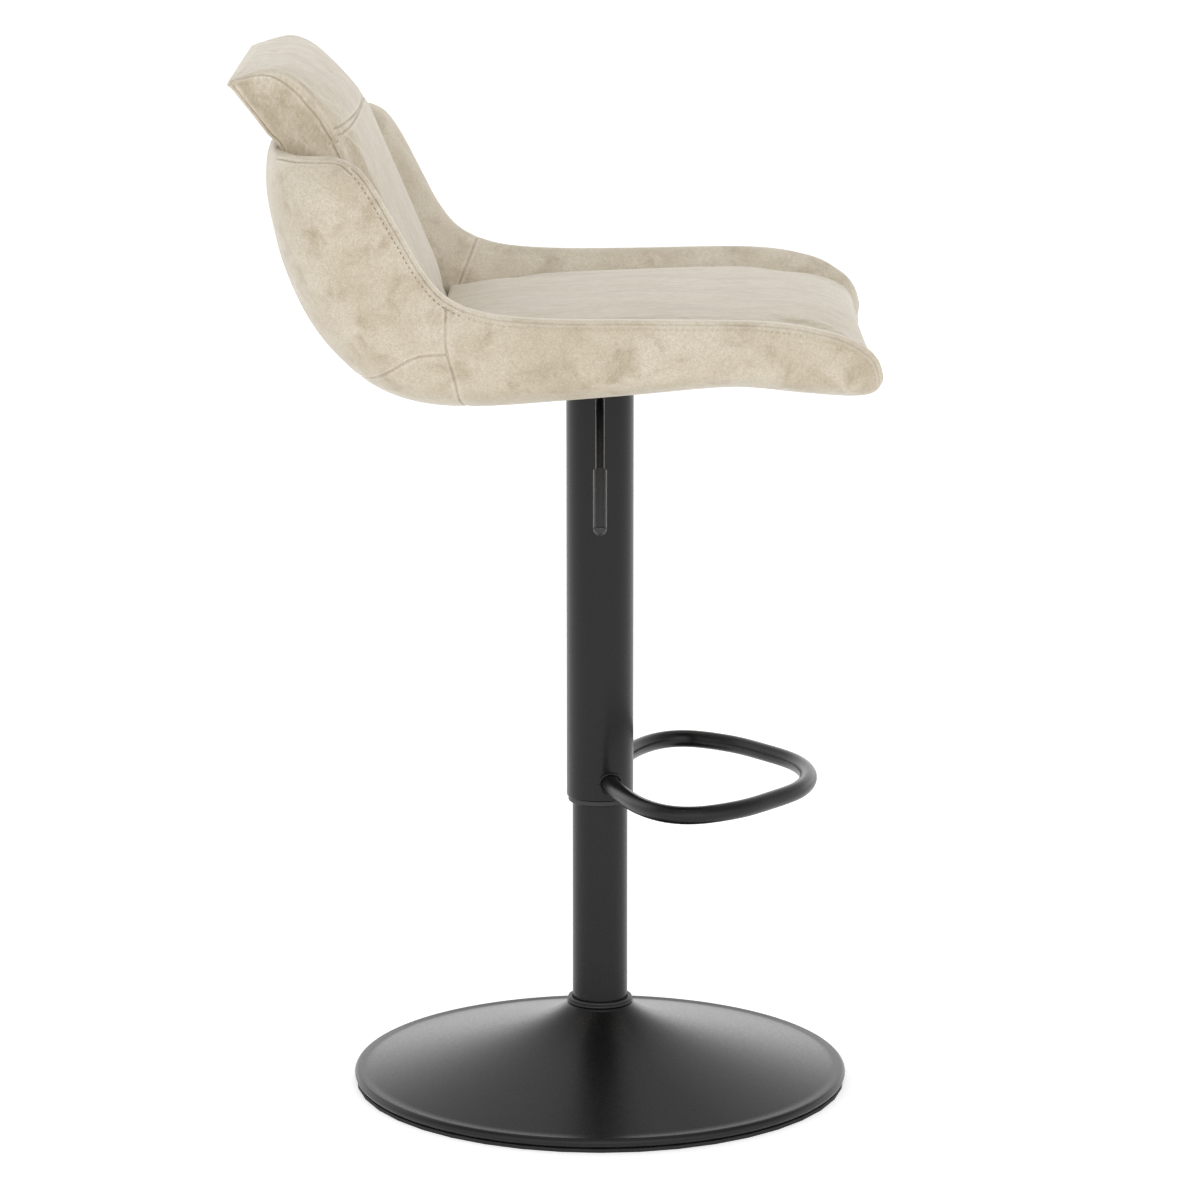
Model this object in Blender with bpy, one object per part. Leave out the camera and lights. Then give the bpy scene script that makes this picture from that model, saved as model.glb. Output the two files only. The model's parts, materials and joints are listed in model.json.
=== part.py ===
"""Adjustable swivel stool: trumpet base, gas-spring column, footrest loop and upholstered bucket seat.

Metres, +Z up. The origin is on the column's axis at floor level, and the stool faces -Y.
The lever is on the sitter's right, at -X. The pieces are drawn at the top of the stroke.
"""

import math

import bmesh
import bpy
from mathutils import Matrix, Vector

# Gap between two pieces that touch
GAP = 0.0003

# Base
BASE_RADIUS = 0.225
RIM_HEIGHT = 0.0095
RIM_ROLL = 0.0045
DISH_SLOPE = 0.262
NECK_RADIUS = 0.031
NECK_FLARE = 0.0107
FLARE_LENGTH = 0.0217
DISH_SHEET = 0.0025
RING_TOP = 0.0032
WEIGHT_RADIUS = 0.170
WEIGHT_THICKNESS = 0.005
HUB_RADIUS = 0.0305
HUB_FLANGE_RADIUS = 0.048
HUB_TOP = 0.0640
HUB_BOLT_CIRCLE = 0.040
FLOOR_PLATE_RADIUS = 0.030
FLOOR_PLATE_BOTTOM = 0.003
FLOOR_PLATE_TOP = 0.007
COLLAR_RADIUS = 0.030
COLLAR_BOTTOM = 0.0735
COLLAR_TOP = 0.0785

# Column
POLE_RADIUS = 0.025
POLE_WALL = 0.002
POLE_TOP = 0.405
SLEEVE_RADIUS = 0.03025
SLEEVE_WALL = 0.002
SLEEVE_BOTTOM = 0.268
SLEEVE_TOP = 0.640
END_PLATE_BOTTOM = 0.0225
CYLINDER_RADIUS = 0.014
CYLINDER_BORE = 0.0125
CYLINDER_BOTTOM = 0.250
CYLINDER_TOP = 0.646
ROD_RADIUS = 0.005
VALVE_RADIUS = 0.003

# Footrest
FOOTREST_HEIGHT = 0.285
FOOTREST_TUBE = 0.008
FOOTREST_PLAN = [
    (0.024, -0.0075),
    (0.060, -0.0165),
    (0.108, -0.0345),
    (0.138, -0.058),
    (0.1435, -0.086),
    (0.124, -0.121),
    (0.094, -0.149),
    (0.050, -0.179),
]
FOOTREST_NOSE = -0.189

# Seat mechanism
PIVOT_X = -0.035
PIVOT_Z = 0.655
LEVER_RADIUS = 0.004
GRIP_RADIUS = 0.006
GRIP_LENGTH = 0.060
LEVER_SLOPE = math.radians(7)
LEVER_DROP = math.radians(60)
PLATE_SIZE = (0.190, 0.150)
PLATE_BOTTOM = 0.665
PLATE_THICKNESS = 0.0025
SEAT_BOLT_AT = (0.075, 0.055)

# Seat. Underside slices (y, z, floor thickness), and the rim above each (y, z, half-width)
UNDERSIDE = [
    (-0.2385, 0.6760, 0.0008),
    (-0.2340, 0.6705, 0.0030),
    (-0.2260, 0.6660, 0.0040),
    (-0.2150, 0.6637, 0.0040),
    (-0.2000, 0.6640, 0.0040),
    (-0.1680, 0.6665, 0.0030),
    (-0.1100, 0.6700, 0.0020),
    (-0.0300, 0.6610, 0.0040),
    (0.0400, 0.6545, 0.0040),
    (0.1050, 0.6495, 0.0050),
    (0.1550, 0.6520, 0.0080),
    (0.1950, 0.6655, 0.0120),
    (0.2280, 0.6910, 0.0140),
    (0.2550, 0.7250, 0.0140),
    (0.2755, 0.7700, 0.0140),
    (0.2870, 0.8150, 0.0140),
    (0.2905, 0.8400, 0.0130),
    (0.2900, 0.8580, 0.0120),
    (0.2880, 0.8690, 0.0110),
    (0.2840, 0.8745, 0.0080),
    (0.2790, 0.8760, 0.0040),
]
RIM = [
    (-0.2398, 0.6785, 0.198),
    (-0.2412, 0.6830, 0.206),
    (-0.2410, 0.6890, 0.213),
    (-0.2365, 0.7025, 0.221),
    (-0.2245, 0.7150, 0.230),
    (-0.1960, 0.7287, 0.239),
    (-0.1400, 0.7375, 0.236),
    (-0.0300, 0.7377, 0.226),
    (0.0340, 0.7377, 0.224),
    (0.0840, 0.7408, 0.223),
    (0.1140, 0.7482, 0.224),
    (0.1340, 0.7600, 0.226),
    (0.1500, 0.7797, 0.228),
    (0.1640, 0.8050, 0.233),
    (0.1770, 0.8295, 0.240),
    (0.1885, 0.8495, 0.242),
    (0.1985, 0.8630, 0.239),
    (0.2080, 0.8700, 0.232),
    (0.2170, 0.8733, 0.226),
    (0.2250, 0.8750, 0.219),
    (0.2330, 0.8755, 0.211),
]
SEAT_RIM_Z = 0.738
WING_TOP_Z = 0.8745
BOLSTER_WIDTH = 0.050
WING_INNER = 0.1515
RIM_CREST = 0.008
BOW_START = -0.205
BOW_LENGTH = 0.035
BOW_HALF_WIDTH = 0.205
BOW_DEPTH = 0.006
OPENING_SIZE = (0.300, 0.305)
OPENING_CORNER = 0.012
OPENING_CENTER = (0, -0.0525)
COVER_SIZE = (0.296, 0.300)
COVER_CORNER = 0.010
COVER_RISE = 0.002
COVER_THICKNESS = 0.0015
BOARD_SIZE = (0.320, 0.330)
BOARD_CORNER = 0.030
BOARD_CENTER = (0, -0.040)
BOARD_BOTTOM = 0.6735
BOARD_THICKNESS = 0.012
PAD_BOTTOM = BOARD_BOTTOM + BOARD_THICKNESS + 0.0005
BACK_FACE_Y = 0.143
BACK_FACE_Z = 0.708
BACK_LEAN = 0.425
PAD_CROWN = 0.003
PAD_ROLL = 0.010
PAD_EDGE = 0.006
# Seat pad slices: y, low z, high z, half-width
SEAT_PAD_SLICES = [
    (-0.2400, 0.6780, 0.6840, 0.148),
    (-0.2393, 0.6776, 0.6930, 0.151),
    (-0.2360, 0.6746, 0.7030, 0.158),
    (-0.2260, 0.6706, 0.7110, 0.166),
    (-0.2080, 0.6692, 0.7165, 0.173),
    (-0.2070, PAD_BOTTOM, 0.7168, 0.178),
    (-0.1500, PAD_BOTTOM, 0.7230, 0.183),
    (-0.0500, PAD_BOTTOM, 0.7230, 0.173),
    (0.0400, PAD_BOTTOM, 0.7200, 0.170),
    (0.0900, PAD_BOTTOM, 0.7175, 0.163),
    (0.1290, PAD_BOTTOM, 0.7120, 0.149),
]
# Back and head pad slices: front y, z, rear y, z, half-width, crown
BACK_PAD_SLICES = [
    (0.1354, 0.6900, 0.1854, 0.6900, 0.147, 0.0),
    (0.1413, 0.7040, 0.2073, 0.7040, 0.149, 0.0),
    (0.1481, 0.7200, 0.2200, 0.7200, 0.149, 0.0),
    (0.1609, 0.7500, 0.2399, 0.7500, 0.149, 0.007),
    (0.1779, 0.7900, 0.2569, 0.7900, 0.149, 0.009),
    (0.1991, 0.8400, 0.2681, 0.8400, 0.149, 0.009),
    (0.2148, 0.8770, 0.2678, 0.8770, 0.149, 0.009),
]
HEAD_PAD_SLICES = [
    (0.2154, 0.8785, 0.2750, 0.8785, 0.151, 0.009),
    (0.2215, 0.8900, 0.2850, 0.8890, 0.154, 0.009),
    (0.2320, 0.9070, 0.2970, 0.9040, 0.155, 0.008),
    (0.2480, 0.9270, 0.3080, 0.9180, 0.155, 0.006),
    (0.2650, 0.9400, 0.3150, 0.9265, 0.155, 0.004),
    (0.2810, 0.9445, 0.3175, 0.9290, 0.154, 0.002),
    (0.2960, 0.9415, 0.3170, 0.9310, 0.151, 0.001),
    (0.3090, 0.9365, 0.3150, 0.9335, 0.147, 0.0),
]
BACK_PAD_ROLL = 0.012
BACK_BOARD_INSET = 0.045
BACK_BOARD_DEPTH = 0.0109
BACK_BOARD_HALF_WIDTH = 0.115
BACK_BOARD_LOW = 0.696
BACK_BOARD_HIGH = 0.915
POCKET_SLACK = 0.001

LEATHERETTE = ((0.61, 0.53, 0.40), 0.6, 0.0)
BLACK_STEEL = ((0.035, 0.035, 0.037), 0.45, 0.3)
BARE_STEEL = ((0.55, 0.55, 0.56), 0.35, 1.0)
ZINC = ((0.62, 0.60, 0.52), 0.35, 1.0)
BLACK_PLASTIC = ((0.02, 0.02, 0.02), 0.55, 0.0)
RUBBER = ((0.015, 0.015, 0.015), 0.85, 0.0)
PLYWOOD = ((0.62, 0.44, 0.26), 0.7, 0.0)
BLACK_FELT = ((0.02, 0.02, 0.02), 0.95, 0.0)


def clear_scene():
    for old in list(bpy.data.objects):
        bpy.data.objects.remove(old, do_unlink=True)


def body_empty(name, location, parent=None):
    """The frame of a group of pieces that move together, on the axis of its joint."""
    empty = bpy.data.objects.new(name, None)
    empty.empty_display_size = 0.05
    bpy.context.scene.collection.objects.link(empty)
    empty.parent = parent
    origin = parent.get("at", (0, 0, 0)) if parent else (0, 0, 0)
    empty.location = Vector(location) - Vector(origin)
    empty["at"] = location
    return empty


def add_piece(name, bm, look, body):
    """Makes an object of a bmesh whose points are measured from the body's empty."""
    bmesh.ops.remove_doubles(bm, verts=bm.verts, dist=1e-6)
    bmesh.ops.recalc_face_normals(bm, faces=bm.faces)
    mesh = bpy.data.meshes.new(name)
    bm.to_mesh(mesh)
    bm.free()
    mesh.shade_smooth()
    mesh.set_sharp_from_angle(angle=math.radians(35))
    color, roughness, metallic = look
    material = bpy.data.materials.new(name)
    material.use_nodes = True
    shader = material.node_tree.nodes["Principled BSDF"]
    shader.inputs["Base Color"].default_value = (*color, 1.0)
    shader.inputs["Roughness"].default_value = roughness
    shader.inputs["Metallic"].default_value = metallic
    mesh.materials.append(material)
    piece = bpy.data.objects.new(name, mesh)
    bpy.context.scene.collection.objects.link(piece)
    piece.parent = body
    return piece


def combine(piece, bm, name, operation):
    """Combines a piece with the shape of a bmesh, measured from the piece's empty."""
    bmesh.ops.recalc_face_normals(bm, faces=bm.faces)
    mesh = bpy.data.meshes.new(name)
    bm.to_mesh(mesh)
    bm.free()
    shape = bpy.data.objects.new(name, mesh)
    bpy.context.scene.collection.objects.link(shape)
    shape.parent = piece.parent
    shape.hide_render = True
    shape.display_type = "WIRE"
    boolean = piece.modifiers.new(name, "BOOLEAN")
    boolean.operation = operation
    boolean.solver = "EXACT"
    boolean.object = shape


def cut(piece, bm, name):
    combine(piece, bm, name, "DIFFERENCE")


def turned_shape(profile, segments, matrix=None):
    """A closed outline of (radius, height) points, spun once round Z."""
    bm = bmesh.new()
    corners = [bm.verts.new((radius, 0, height)) for radius, height in profile]
    edges = [bm.edges.new(pair) for pair in zip(corners, corners[1:] + corners[:1])]
    bmesh.ops.spin(
        bm,
        geom=corners + edges,
        cent=(0, 0, 0),
        axis=(0, 0, 1),
        angle=math.tau,
        steps=segments,
        use_merge=True,
    )
    bmesh.ops.remove_doubles(bm, verts=bm.verts, dist=1e-6)
    if matrix:
        bm.transform(matrix)
    return bm


def tube(inner, outer, low, high, chamfer=0.0):
    """The outline of a round sleeve, with its outer edges chamfered."""
    return [
        (inner, low),
        (outer - chamfer, low),
        (outer, low + chamfer),
        (outer, high - chamfer),
        (outer - chamfer, high),
        (inner, high),
    ] if chamfer else [(inner, low), (outer, low), (outer, high), (inner, high)]


def arc(center, radius, start, end, steps):
    """Points of a round stretch of an outline, from one angle to another in degrees."""
    angles = [math.radians(start + (end - start) * i / steps) for i in range(steps + 1)]
    return [
        (center[0] + radius * math.cos(a), center[1] + radius * math.sin(a)) for a in angles
    ]


def prism(outline, low, high, axis="Z"):
    """An outline pushed from low to high along Z, or along X when it is drawn in Y and Z."""
    bm = bmesh.new()
    at = (lambda u, v, w: (u, v, w)) if axis == "Z" else (lambda u, v, w: (w, u, v))
    bottom = [bm.verts.new(at(u, v, low)) for u, v in outline]
    top = [bm.verts.new(at(u, v, high)) for u, v in outline]
    bm.faces.new(bottom)
    bm.faces.new(top)
    for i in range(len(outline)):
        j = (i + 1) % len(outline)
        bm.faces.new((bottom[i], bottom[j], top[j], top[i]))
    return bm


def rounded_rectangle(size_x, size_y, corner, center=(0, 0), steps=4):
    half_x = size_x / 2 - corner
    half_y = size_y / 2 - corner
    corners = [(half_x, half_y), (-half_x, half_y), (-half_x, -half_y), (half_x, -half_y)]
    outline = []
    for quarter, (x, y) in enumerate(corners):
        middle = (center[0] + x, center[1] + y)
        outline += arc(middle, corner, 90 * quarter, 90 * quarter + 90, steps)
    return outline


def round_cutter(x, y, radius, low, high, segments=16):
    matrix = Matrix.Translation((x, y, 0))
    return turned_shape([(0, low), (radius, low), (radius, high), (0, high)], segments, matrix)


def smooth_curve(points, per_span):
    """A Catmull-Rom curve through the points, each any number of values long."""
    first = [2 * a - b for a, b in zip(points[0], points[1])]
    last = [2 * a - b for a, b in zip(points[-1], points[-2])]
    padded = [first, *points, last]
    curve = []
    for before, start, end, after in zip(padded, padded[1:], padded[2:], padded[3:]):
        for step in range(per_span):
            t = step / per_span
            curve.append([
                0.5 * (2 * b + (c - a) * t + (2 * a - 5 * b + 4 * c - d) * t**2
                       + (3 * b - a - 3 * c + d) * t**3)
                for a, b, c, d in zip(before, start, end, after)
            ])
    curve.append(list(points[-1]))
    return curve


def swept_tube(path, radius, sides):
    """A round bar along a path, with flat ends."""
    bm = bmesh.new()
    path = [Vector(point) for point in path]
    tangents = []
    for i in range(len(path)):
        ahead = path[min(i + 1, len(path) - 1)]
        behind = path[max(i - 1, 0)]
        tangents.append((ahead - behind).normalized())
    side = tangents[0].orthogonal().normalized()
    rings = []
    for point, tangent in zip(path, tangents):
        side = (side - tangent * side.dot(tangent)).normalized()
        up = tangent.cross(side)
        ring = []
        for k in range(sides):
            angle = math.tau * k / sides
            offset = side * math.cos(angle) + up * math.sin(angle)
            ring.append(bm.verts.new(point + radius * offset))
        rings.append(ring)
    join_rings(bm, rings)
    return bm


def join_rings(bm, rings):
    """Faces between closed rings of points, and a cap on the first and the last."""
    for lower, upper in zip(rings, rings[1:]):
        for k in range(len(lower)):
            n = (k + 1) % len(lower)
            bm.faces.new((lower[k], lower[n], upper[n], upper[k]))
    bm.faces.new(rings[0][::-1])
    bm.faces.new(rings[-1])


def ribbed_form(ribs):
    """A closed form through ribs. A rib is its foot and head as (y, z), and a section of
    (x, distance from the foot towards the head) points for its right half, x >= 0."""
    bm = bmesh.new()
    rings = []
    for foot, head, section in ribs:
        foot = Vector(foot)
        direction = (Vector(head) - foot).normalized()
        left = [(-x, b) for x, b in reversed(section) if x > 1e-9]
        ring = []
        for x, b in section + left:
            y, z = foot + direction * b
            ring.append(bm.verts.new((x, y, z)))
        rings.append(ring)
    join_rings(bm, rings)
    return bm


def corner_curve(half_width, low, high, power, steps):
    """A squared-off quarter curve from (0, low) out to (half_width, high)."""
    points = []
    for i in range(steps + 1):
        t = math.pi / 2 * i / steps
        x = half_width * math.sin(t) ** (2 / power)
        b = low + (high - low) * (1 - max(math.cos(t), 0.0) ** (2 / power))
        points.append((x, b))
    return points


def dish_height(radius):
    """Height of the dish's upper surface: a cone that flares up to the neck."""
    flare = NECK_FLARE * math.exp(-(radius - NECK_RADIUS) / FLARE_LENGTH)
    return RIM_HEIGHT + DISH_SLOPE * (BASE_RADIUS - radius) + flare


def make_base(body):
    bore = POLE_RADIUS + GAP
    neck_top = dish_height(NECK_RADIUS) + 0.002
    radii = [0.031, 0.035, 0.042, 0.055, 0.080, 0.130]
    upper = [(bore, neck_top), (NECK_RADIUS - 0.0015, neck_top)]
    upper += [(r, dish_height(r)) for r in radii]
    roll = (BASE_RADIUS - RIM_ROLL, RIM_HEIGHT - RIM_ROLL)
    upper += arc((roll[0], roll[1] + 0.0035), RIM_ROLL, 75, -90, 4)
    inner_rim = BASE_RADIUS - 2 * RIM_ROLL + 0.001
    lower = [(inner_rim, roll[1] - 0.001), (inner_rim, dish_height(inner_rim) - DISH_SHEET)]
    lower += [(r, dish_height(r) - DISH_SHEET) for r in reversed(radii[3:])]
    lower += [(0.036, dish_height(0.036) - 0.004), (bore, 0.067)]
    add_piece("base_dish", turned_shape(upper + lower, 40), BLACK_STEEL, body)

    ring_outer = BASE_RADIUS - 0.0015
    ring_inner = BASE_RADIUS - 0.0125
    lip = inner_rim - GAP
    ring = [
        (ring_inner, 0),
        (ring_outer, 0),
        (ring_outer, RING_TOP),
        (lip, RING_TOP),
        (lip, RING_TOP + 0.004),
        (ring_inner, RING_TOP + 0.004),
    ]
    add_piece("base_floor_ring", turned_shape(ring, 40), RUBBER, body)

    flange_bottom = FLOOR_PLATE_TOP + GAP
    flange_top = flange_bottom + 0.005
    weight_bottom = flange_top + GAP
    weight = tube(HUB_RADIUS + GAP, WEIGHT_RADIUS, weight_bottom, weight_bottom + WEIGHT_THICKNESS)
    weight_plate = add_piece("base_weight_plate", turned_shape(weight, 24), BARE_STEEL, body)
    hub = [
        (bore, flange_bottom),
        (HUB_FLANGE_RADIUS, flange_bottom),
        (HUB_FLANGE_RADIUS, flange_top),
        (HUB_RADIUS, flange_top),
        (HUB_RADIUS, HUB_TOP),
        (bore, HUB_TOP),
    ]
    base_hub = add_piece("base_hub", turned_shape(hub, 24), BARE_STEEL, body)
    floor_plate = [
        (0, FLOOR_PLATE_BOTTOM),
        (FLOOR_PLATE_RADIUS - 0.001, FLOOR_PLATE_BOTTOM),
        (FLOOR_PLATE_RADIUS, FLOOR_PLATE_BOTTOM + 0.001),
        (FLOOR_PLATE_RADIUS, FLOOR_PLATE_TOP),
        (0, FLOOR_PLATE_TOP),
    ]
    add_piece("base_floor_plate", turned_shape(floor_plate, 16), BLACK_STEEL, body)
    for number in range(4):
        angle = math.pi / 4 + number * math.pi / 2
        x = HUB_BOLT_CIRCLE * math.cos(angle)
        y = HUB_BOLT_CIRCLE * math.sin(angle)
        bolt = cap_screw(0.003, 0.0052, 0.0033, flange_bottom - GAP, weight_bottom + 0.004)
        bolt.transform(Matrix.Translation((x, y, 0)))
        add_piece(f"hub_bolt_{number + 1}", bolt, ZINC, body)
        hole = (x, y, 0.0033, flange_bottom - 0.002, flange_top + 0.02, 12)
        cut(base_hub, round_cutter(*hole), f"hub_hole_{number + 1}")
        cut(weight_plate, round_cutter(*hole), f"weight_hole_{number + 1}")

    groove = (COLLAR_BOTTOM + COLLAR_TOP) / 2
    collar = [
        (bore, COLLAR_BOTTOM),
        (COLLAR_RADIUS - 0.001, COLLAR_BOTTOM),
        (COLLAR_RADIUS, COLLAR_BOTTOM + 0.001),
        (COLLAR_RADIUS - 0.0008, groove),
        (COLLAR_RADIUS - 0.0005, COLLAR_TOP - 0.001),
        (COLLAR_RADIUS - 0.0018, COLLAR_TOP),
        (bore, COLLAR_TOP),
    ]
    add_piece("pole_collar", turned_shape(collar, 24), BLACK_PLASTIC, body)


def cap_screw(radius, head_radius, head_height, head_top, end):
    """A screw with a round head below, and its shank rising from head_top to end."""
    low = head_top - head_height
    return turned_shape(
        [
            (0, low + 0.0015),
            (head_radius * 0.5, low + 0.0015),
            (head_radius * 0.6, low),
            (head_radius, low + 0.0006),
            (head_radius, head_top),
            (radius, head_top),
            (radius, end),
            (0, end),
        ],
        12,
    )


def make_pole(body):
    pole = tube(POLE_RADIUS - POLE_WALL, POLE_RADIUS, FLOOR_PLATE_TOP + GAP, POLE_TOP)
    add_piece("standing_pole", turned_shape(pole, 32), BLACK_STEEL, body)
    inside = POLE_RADIUS - POLE_WALL - GAP
    around_rod = ROD_RADIUS + 0.0006
    bottom = END_PLATE_BOTTOM
    end_plate = tube(around_rod, inside, bottom, bottom + 0.005)
    add_piece("pole_end_plate", turned_shape(end_plate, 16), BARE_STEEL, body)
    race = tube(around_rod, CYLINDER_RADIUS, bottom + 0.0053, bottom + 0.0073)
    add_piece("lower_race", turned_shape(race, 16), BARE_STEEL, body)
    cage = tube(around_rod, CYLINDER_RADIUS, bottom + 0.0076, bottom + 0.0106)
    add_piece("ball_cage", turned_shape(cage, 16), ZINC, body)
    bush_bore = CYLINDER_RADIUS + GAP
    bush = [
        (bush_bore, POLE_TOP - 0.065),
        (inside, POLE_TOP - 0.065),
        (inside, POLE_TOP + GAP),
        (POLE_RADIUS, POLE_TOP + GAP),
        (POLE_RADIUS, POLE_TOP + 0.003),
        (bush_bore, POLE_TOP + 0.003),
    ]
    add_piece("guide_bush", turned_shape(bush, 24), BLACK_PLASTIC, body)


def make_swivel(body):
    around_rod = ROD_RADIUS + GAP
    rod = [(0, 0.0125), (ROD_RADIUS, 0.0125), (ROD_RADIUS, 0.286), (0, 0.286)]
    add_piece("piston_rod", turned_shape(rod, 16), BARE_STEEL, body)
    piston = tube(around_rod, CYLINDER_BORE - GAP, 0.270, 0.282)
    add_piece("piston", turned_shape(piston, 16), BLACK_PLASTIC, body)
    clip = tube(around_rod, 0.0085, END_PLATE_BOTTOM - 0.004, END_PLATE_BOTTOM - 0.002)
    add_piece("rod_clip", turned_shape(clip, 16), ZINC, body)
    bottom = END_PLATE_BOTTOM + 0.0109
    race = tube(around_rod, CYLINDER_RADIUS, bottom, bottom + 0.002)
    add_piece("upper_race", turned_shape(race, 16), BARE_STEEL, body)
    bottom += 0.002 + GAP
    buffer = tube(around_rod, 0.0115, bottom, bottom + 0.018, chamfer=0.002)
    add_piece("stop_buffer", turned_shape(buffer, 16), RUBBER, body)


def make_gas_spring(body):
    valve_bore = VALVE_RADIUS + 0.0004
    cylinder = [
        (CYLINDER_BORE, CYLINDER_BOTTOM),
        (CYLINDER_RADIUS, CYLINDER_BOTTOM),
        (CYLINDER_RADIUS, 0.605),
        (CYLINDER_RADIUS - 0.001, CYLINDER_TOP),
        (valve_bore, CYLINDER_TOP),
        (valve_bore, 0.612),
        (CYLINDER_BORE, 0.600),
    ]
    add_piece("gas_cylinder", turned_shape(cylinder, 20), BLACK_STEEL, body)
    gland = tube(ROD_RADIUS + GAP, CYLINDER_BORE - GAP, CYLINDER_BOTTOM, CYLINDER_BOTTOM + 0.012)
    add_piece("cylinder_gland", turned_shape(gland, 16), BARE_STEEL, body)


def make_sleeve(body):
    bore = SLEEVE_RADIUS - SLEEVE_WALL
    sleeve = [
        (bore, SLEEVE_BOTTOM),
        (SLEEVE_RADIUS - 0.001, SLEEVE_BOTTOM),
        (SLEEVE_RADIUS, SLEEVE_BOTTOM + 0.001),
        (SLEEVE_RADIUS, SLEEVE_TOP),
        (bore, SLEEVE_TOP),
    ]
    add_piece("sleeve", turned_shape(sleeve, 32), BLACK_STEEL, body)
    ring_bore = POLE_RADIUS + GAP
    ring = [
        (ring_bore, SLEEVE_BOTTOM - 0.005),
        (bore - 0.0005, SLEEVE_BOTTOM - 0.005),
        (bore + 0.0005, SLEEVE_BOTTOM - 0.004),
        (bore + 0.0005, SLEEVE_BOTTOM - GAP),
        (bore - GAP, SLEEVE_BOTTOM - GAP),
        (bore - GAP, SLEEVE_BOTTOM + 0.030),
        (ring_bore, SLEEVE_BOTTOM + 0.030),
    ]
    add_piece("glide_ring", turned_shape(ring, 24), BLACK_PLASTIC, body)
    adaptor = tube(0.0240 + GAP, bore - GAP, 0.615, SLEEVE_TOP - 0.001)
    add_piece("sleeve_adaptor", turned_shape(adaptor, 24), BARE_STEEL, body)


def make_footrest(body):
    right = [(x, y, FOOTREST_HEIGHT) for x, y in FOOTREST_PLAN]
    left = [(-x, y, z) for x, y, z in reversed(right)]
    path = smooth_curve([*right, (0, FOOTREST_NOSE, FOOTREST_HEIGHT), *left], 2)
    loop = add_piece("footrest_loop", swept_tube(path, FOOTREST_TUBE, 10), BLACK_STEEL, body)
    around_sleeve = (0, 0, SLEEVE_RADIUS + GAP, 0.25, 0.32, 32)
    cut(loop, round_cutter(*around_sleeve), "sleeve_outline")


def make_mechanism(body):
    taper = CYLINDER_RADIUS + GAP
    socket_top = CYLINDER_TOP - 0.002
    socket = [(taper, 0.600), (0.0240, 0.600), (0.0240, socket_top), (taper - 0.00095, socket_top)]
    socket.append((taper, 0.605))
    add_piece("plate_socket", turned_shape(socket, 24), BARE_STEEL, body)

    floor = socket_top + GAP
    wall_top = PLATE_BOTTOM - GAP
    channel = [
        (-0.0195, floor),
        (0.0195, floor),
        (0.0195, wall_top),
        (0.0175, wall_top),
        (0.0175, floor + 0.002),
        (-0.0175, floor + 0.002),
        (-0.0175, wall_top),
        (-0.0195, wall_top),
    ]
    bracket = add_piece("lever_bracket", prism(channel, -0.055, 0.030, axis="X"), BLACK_STEEL, body)
    cut(bracket, round_cutter(0, 0, 0.0165, 0.63, 0.65, 24), "cylinder_hole")
    along_y = Matrix.Translation((PIVOT_X, 0, PIVOT_Z)) @ Matrix.Rotation(math.pi / 2, 4, "X")
    pin_hole = [(0, -0.03), (0.0023, -0.03), (0.0023, 0.03), (0, 0.03)]
    cut(bracket, turned_shape(pin_hole, 16, along_y), "pivot_hole")
    pin = [(0, -0.0215), (0.002, -0.0215), (0.002, 0.0198), (0.0035, 0.0198), (0.0035, 0.0213)]
    pin.append((0, 0.0213))
    add_piece("lever_pivot_pin", turned_shape(pin, 16, along_y), ZINC, body)

    outline = rounded_rectangle(*PLATE_SIZE, 0.012)
    plate_top = PLATE_BOTTOM + PLATE_THICKNESS
    plate = add_piece("seat_plate", prism(outline, PLATE_BOTTOM, plate_top), BLACK_STEEL, body)
    board_outline = rounded_rectangle(*BOARD_SIZE, BOARD_CORNER, BOARD_CENTER)
    board_top = BOARD_BOTTOM + BOARD_THICKNESS
    board = add_piece("seat_board", prism(board_outline, BOARD_BOTTOM, board_top), PLYWOOD, body)
    cover_outline = rounded_rectangle(*COVER_SIZE, COVER_CORNER, OPENING_CENTER)
    cover_bottom = plate_top + COVER_RISE
    cover_shape = prism(cover_outline, cover_bottom, cover_bottom + COVER_THICKNESS)
    cover = add_piece("dust_cover", cover_shape, BLACK_FELT, body)
    spots = [(x, y) for x in (-1, 1) for y in (-1, 1)]
    for number, (side_x, side_y) in enumerate(spots, 1):
        x = side_x * SEAT_BOLT_AT[0]
        y = side_y * SEAT_BOLT_AT[1]
        washer_top = PLATE_BOTTOM - GAP
        washer = tube(0.0034, 0.0075, washer_top - 0.0012, washer_top)
        place = Matrix.Translation((x, y, 0))
        add_piece(f"seat_washer_{number}", turned_shape(washer, 16, place), ZINC, body)
        head_top = washer_top - 0.0012 - GAP
        bolt = cap_screw(0.003, 0.0055, 0.0035, head_top, board_top - 0.002)
        bolt.transform(place)
        add_piece(f"seat_bolt_{number}", bolt, ZINC, body)
        for piece in (plate, cover, board):
            hole = round_cutter(x, y, 0.0034, 0.655, board_top + 0.002, 12)
            cut(piece, hole, f"{piece.name}_hole_{number}")


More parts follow.
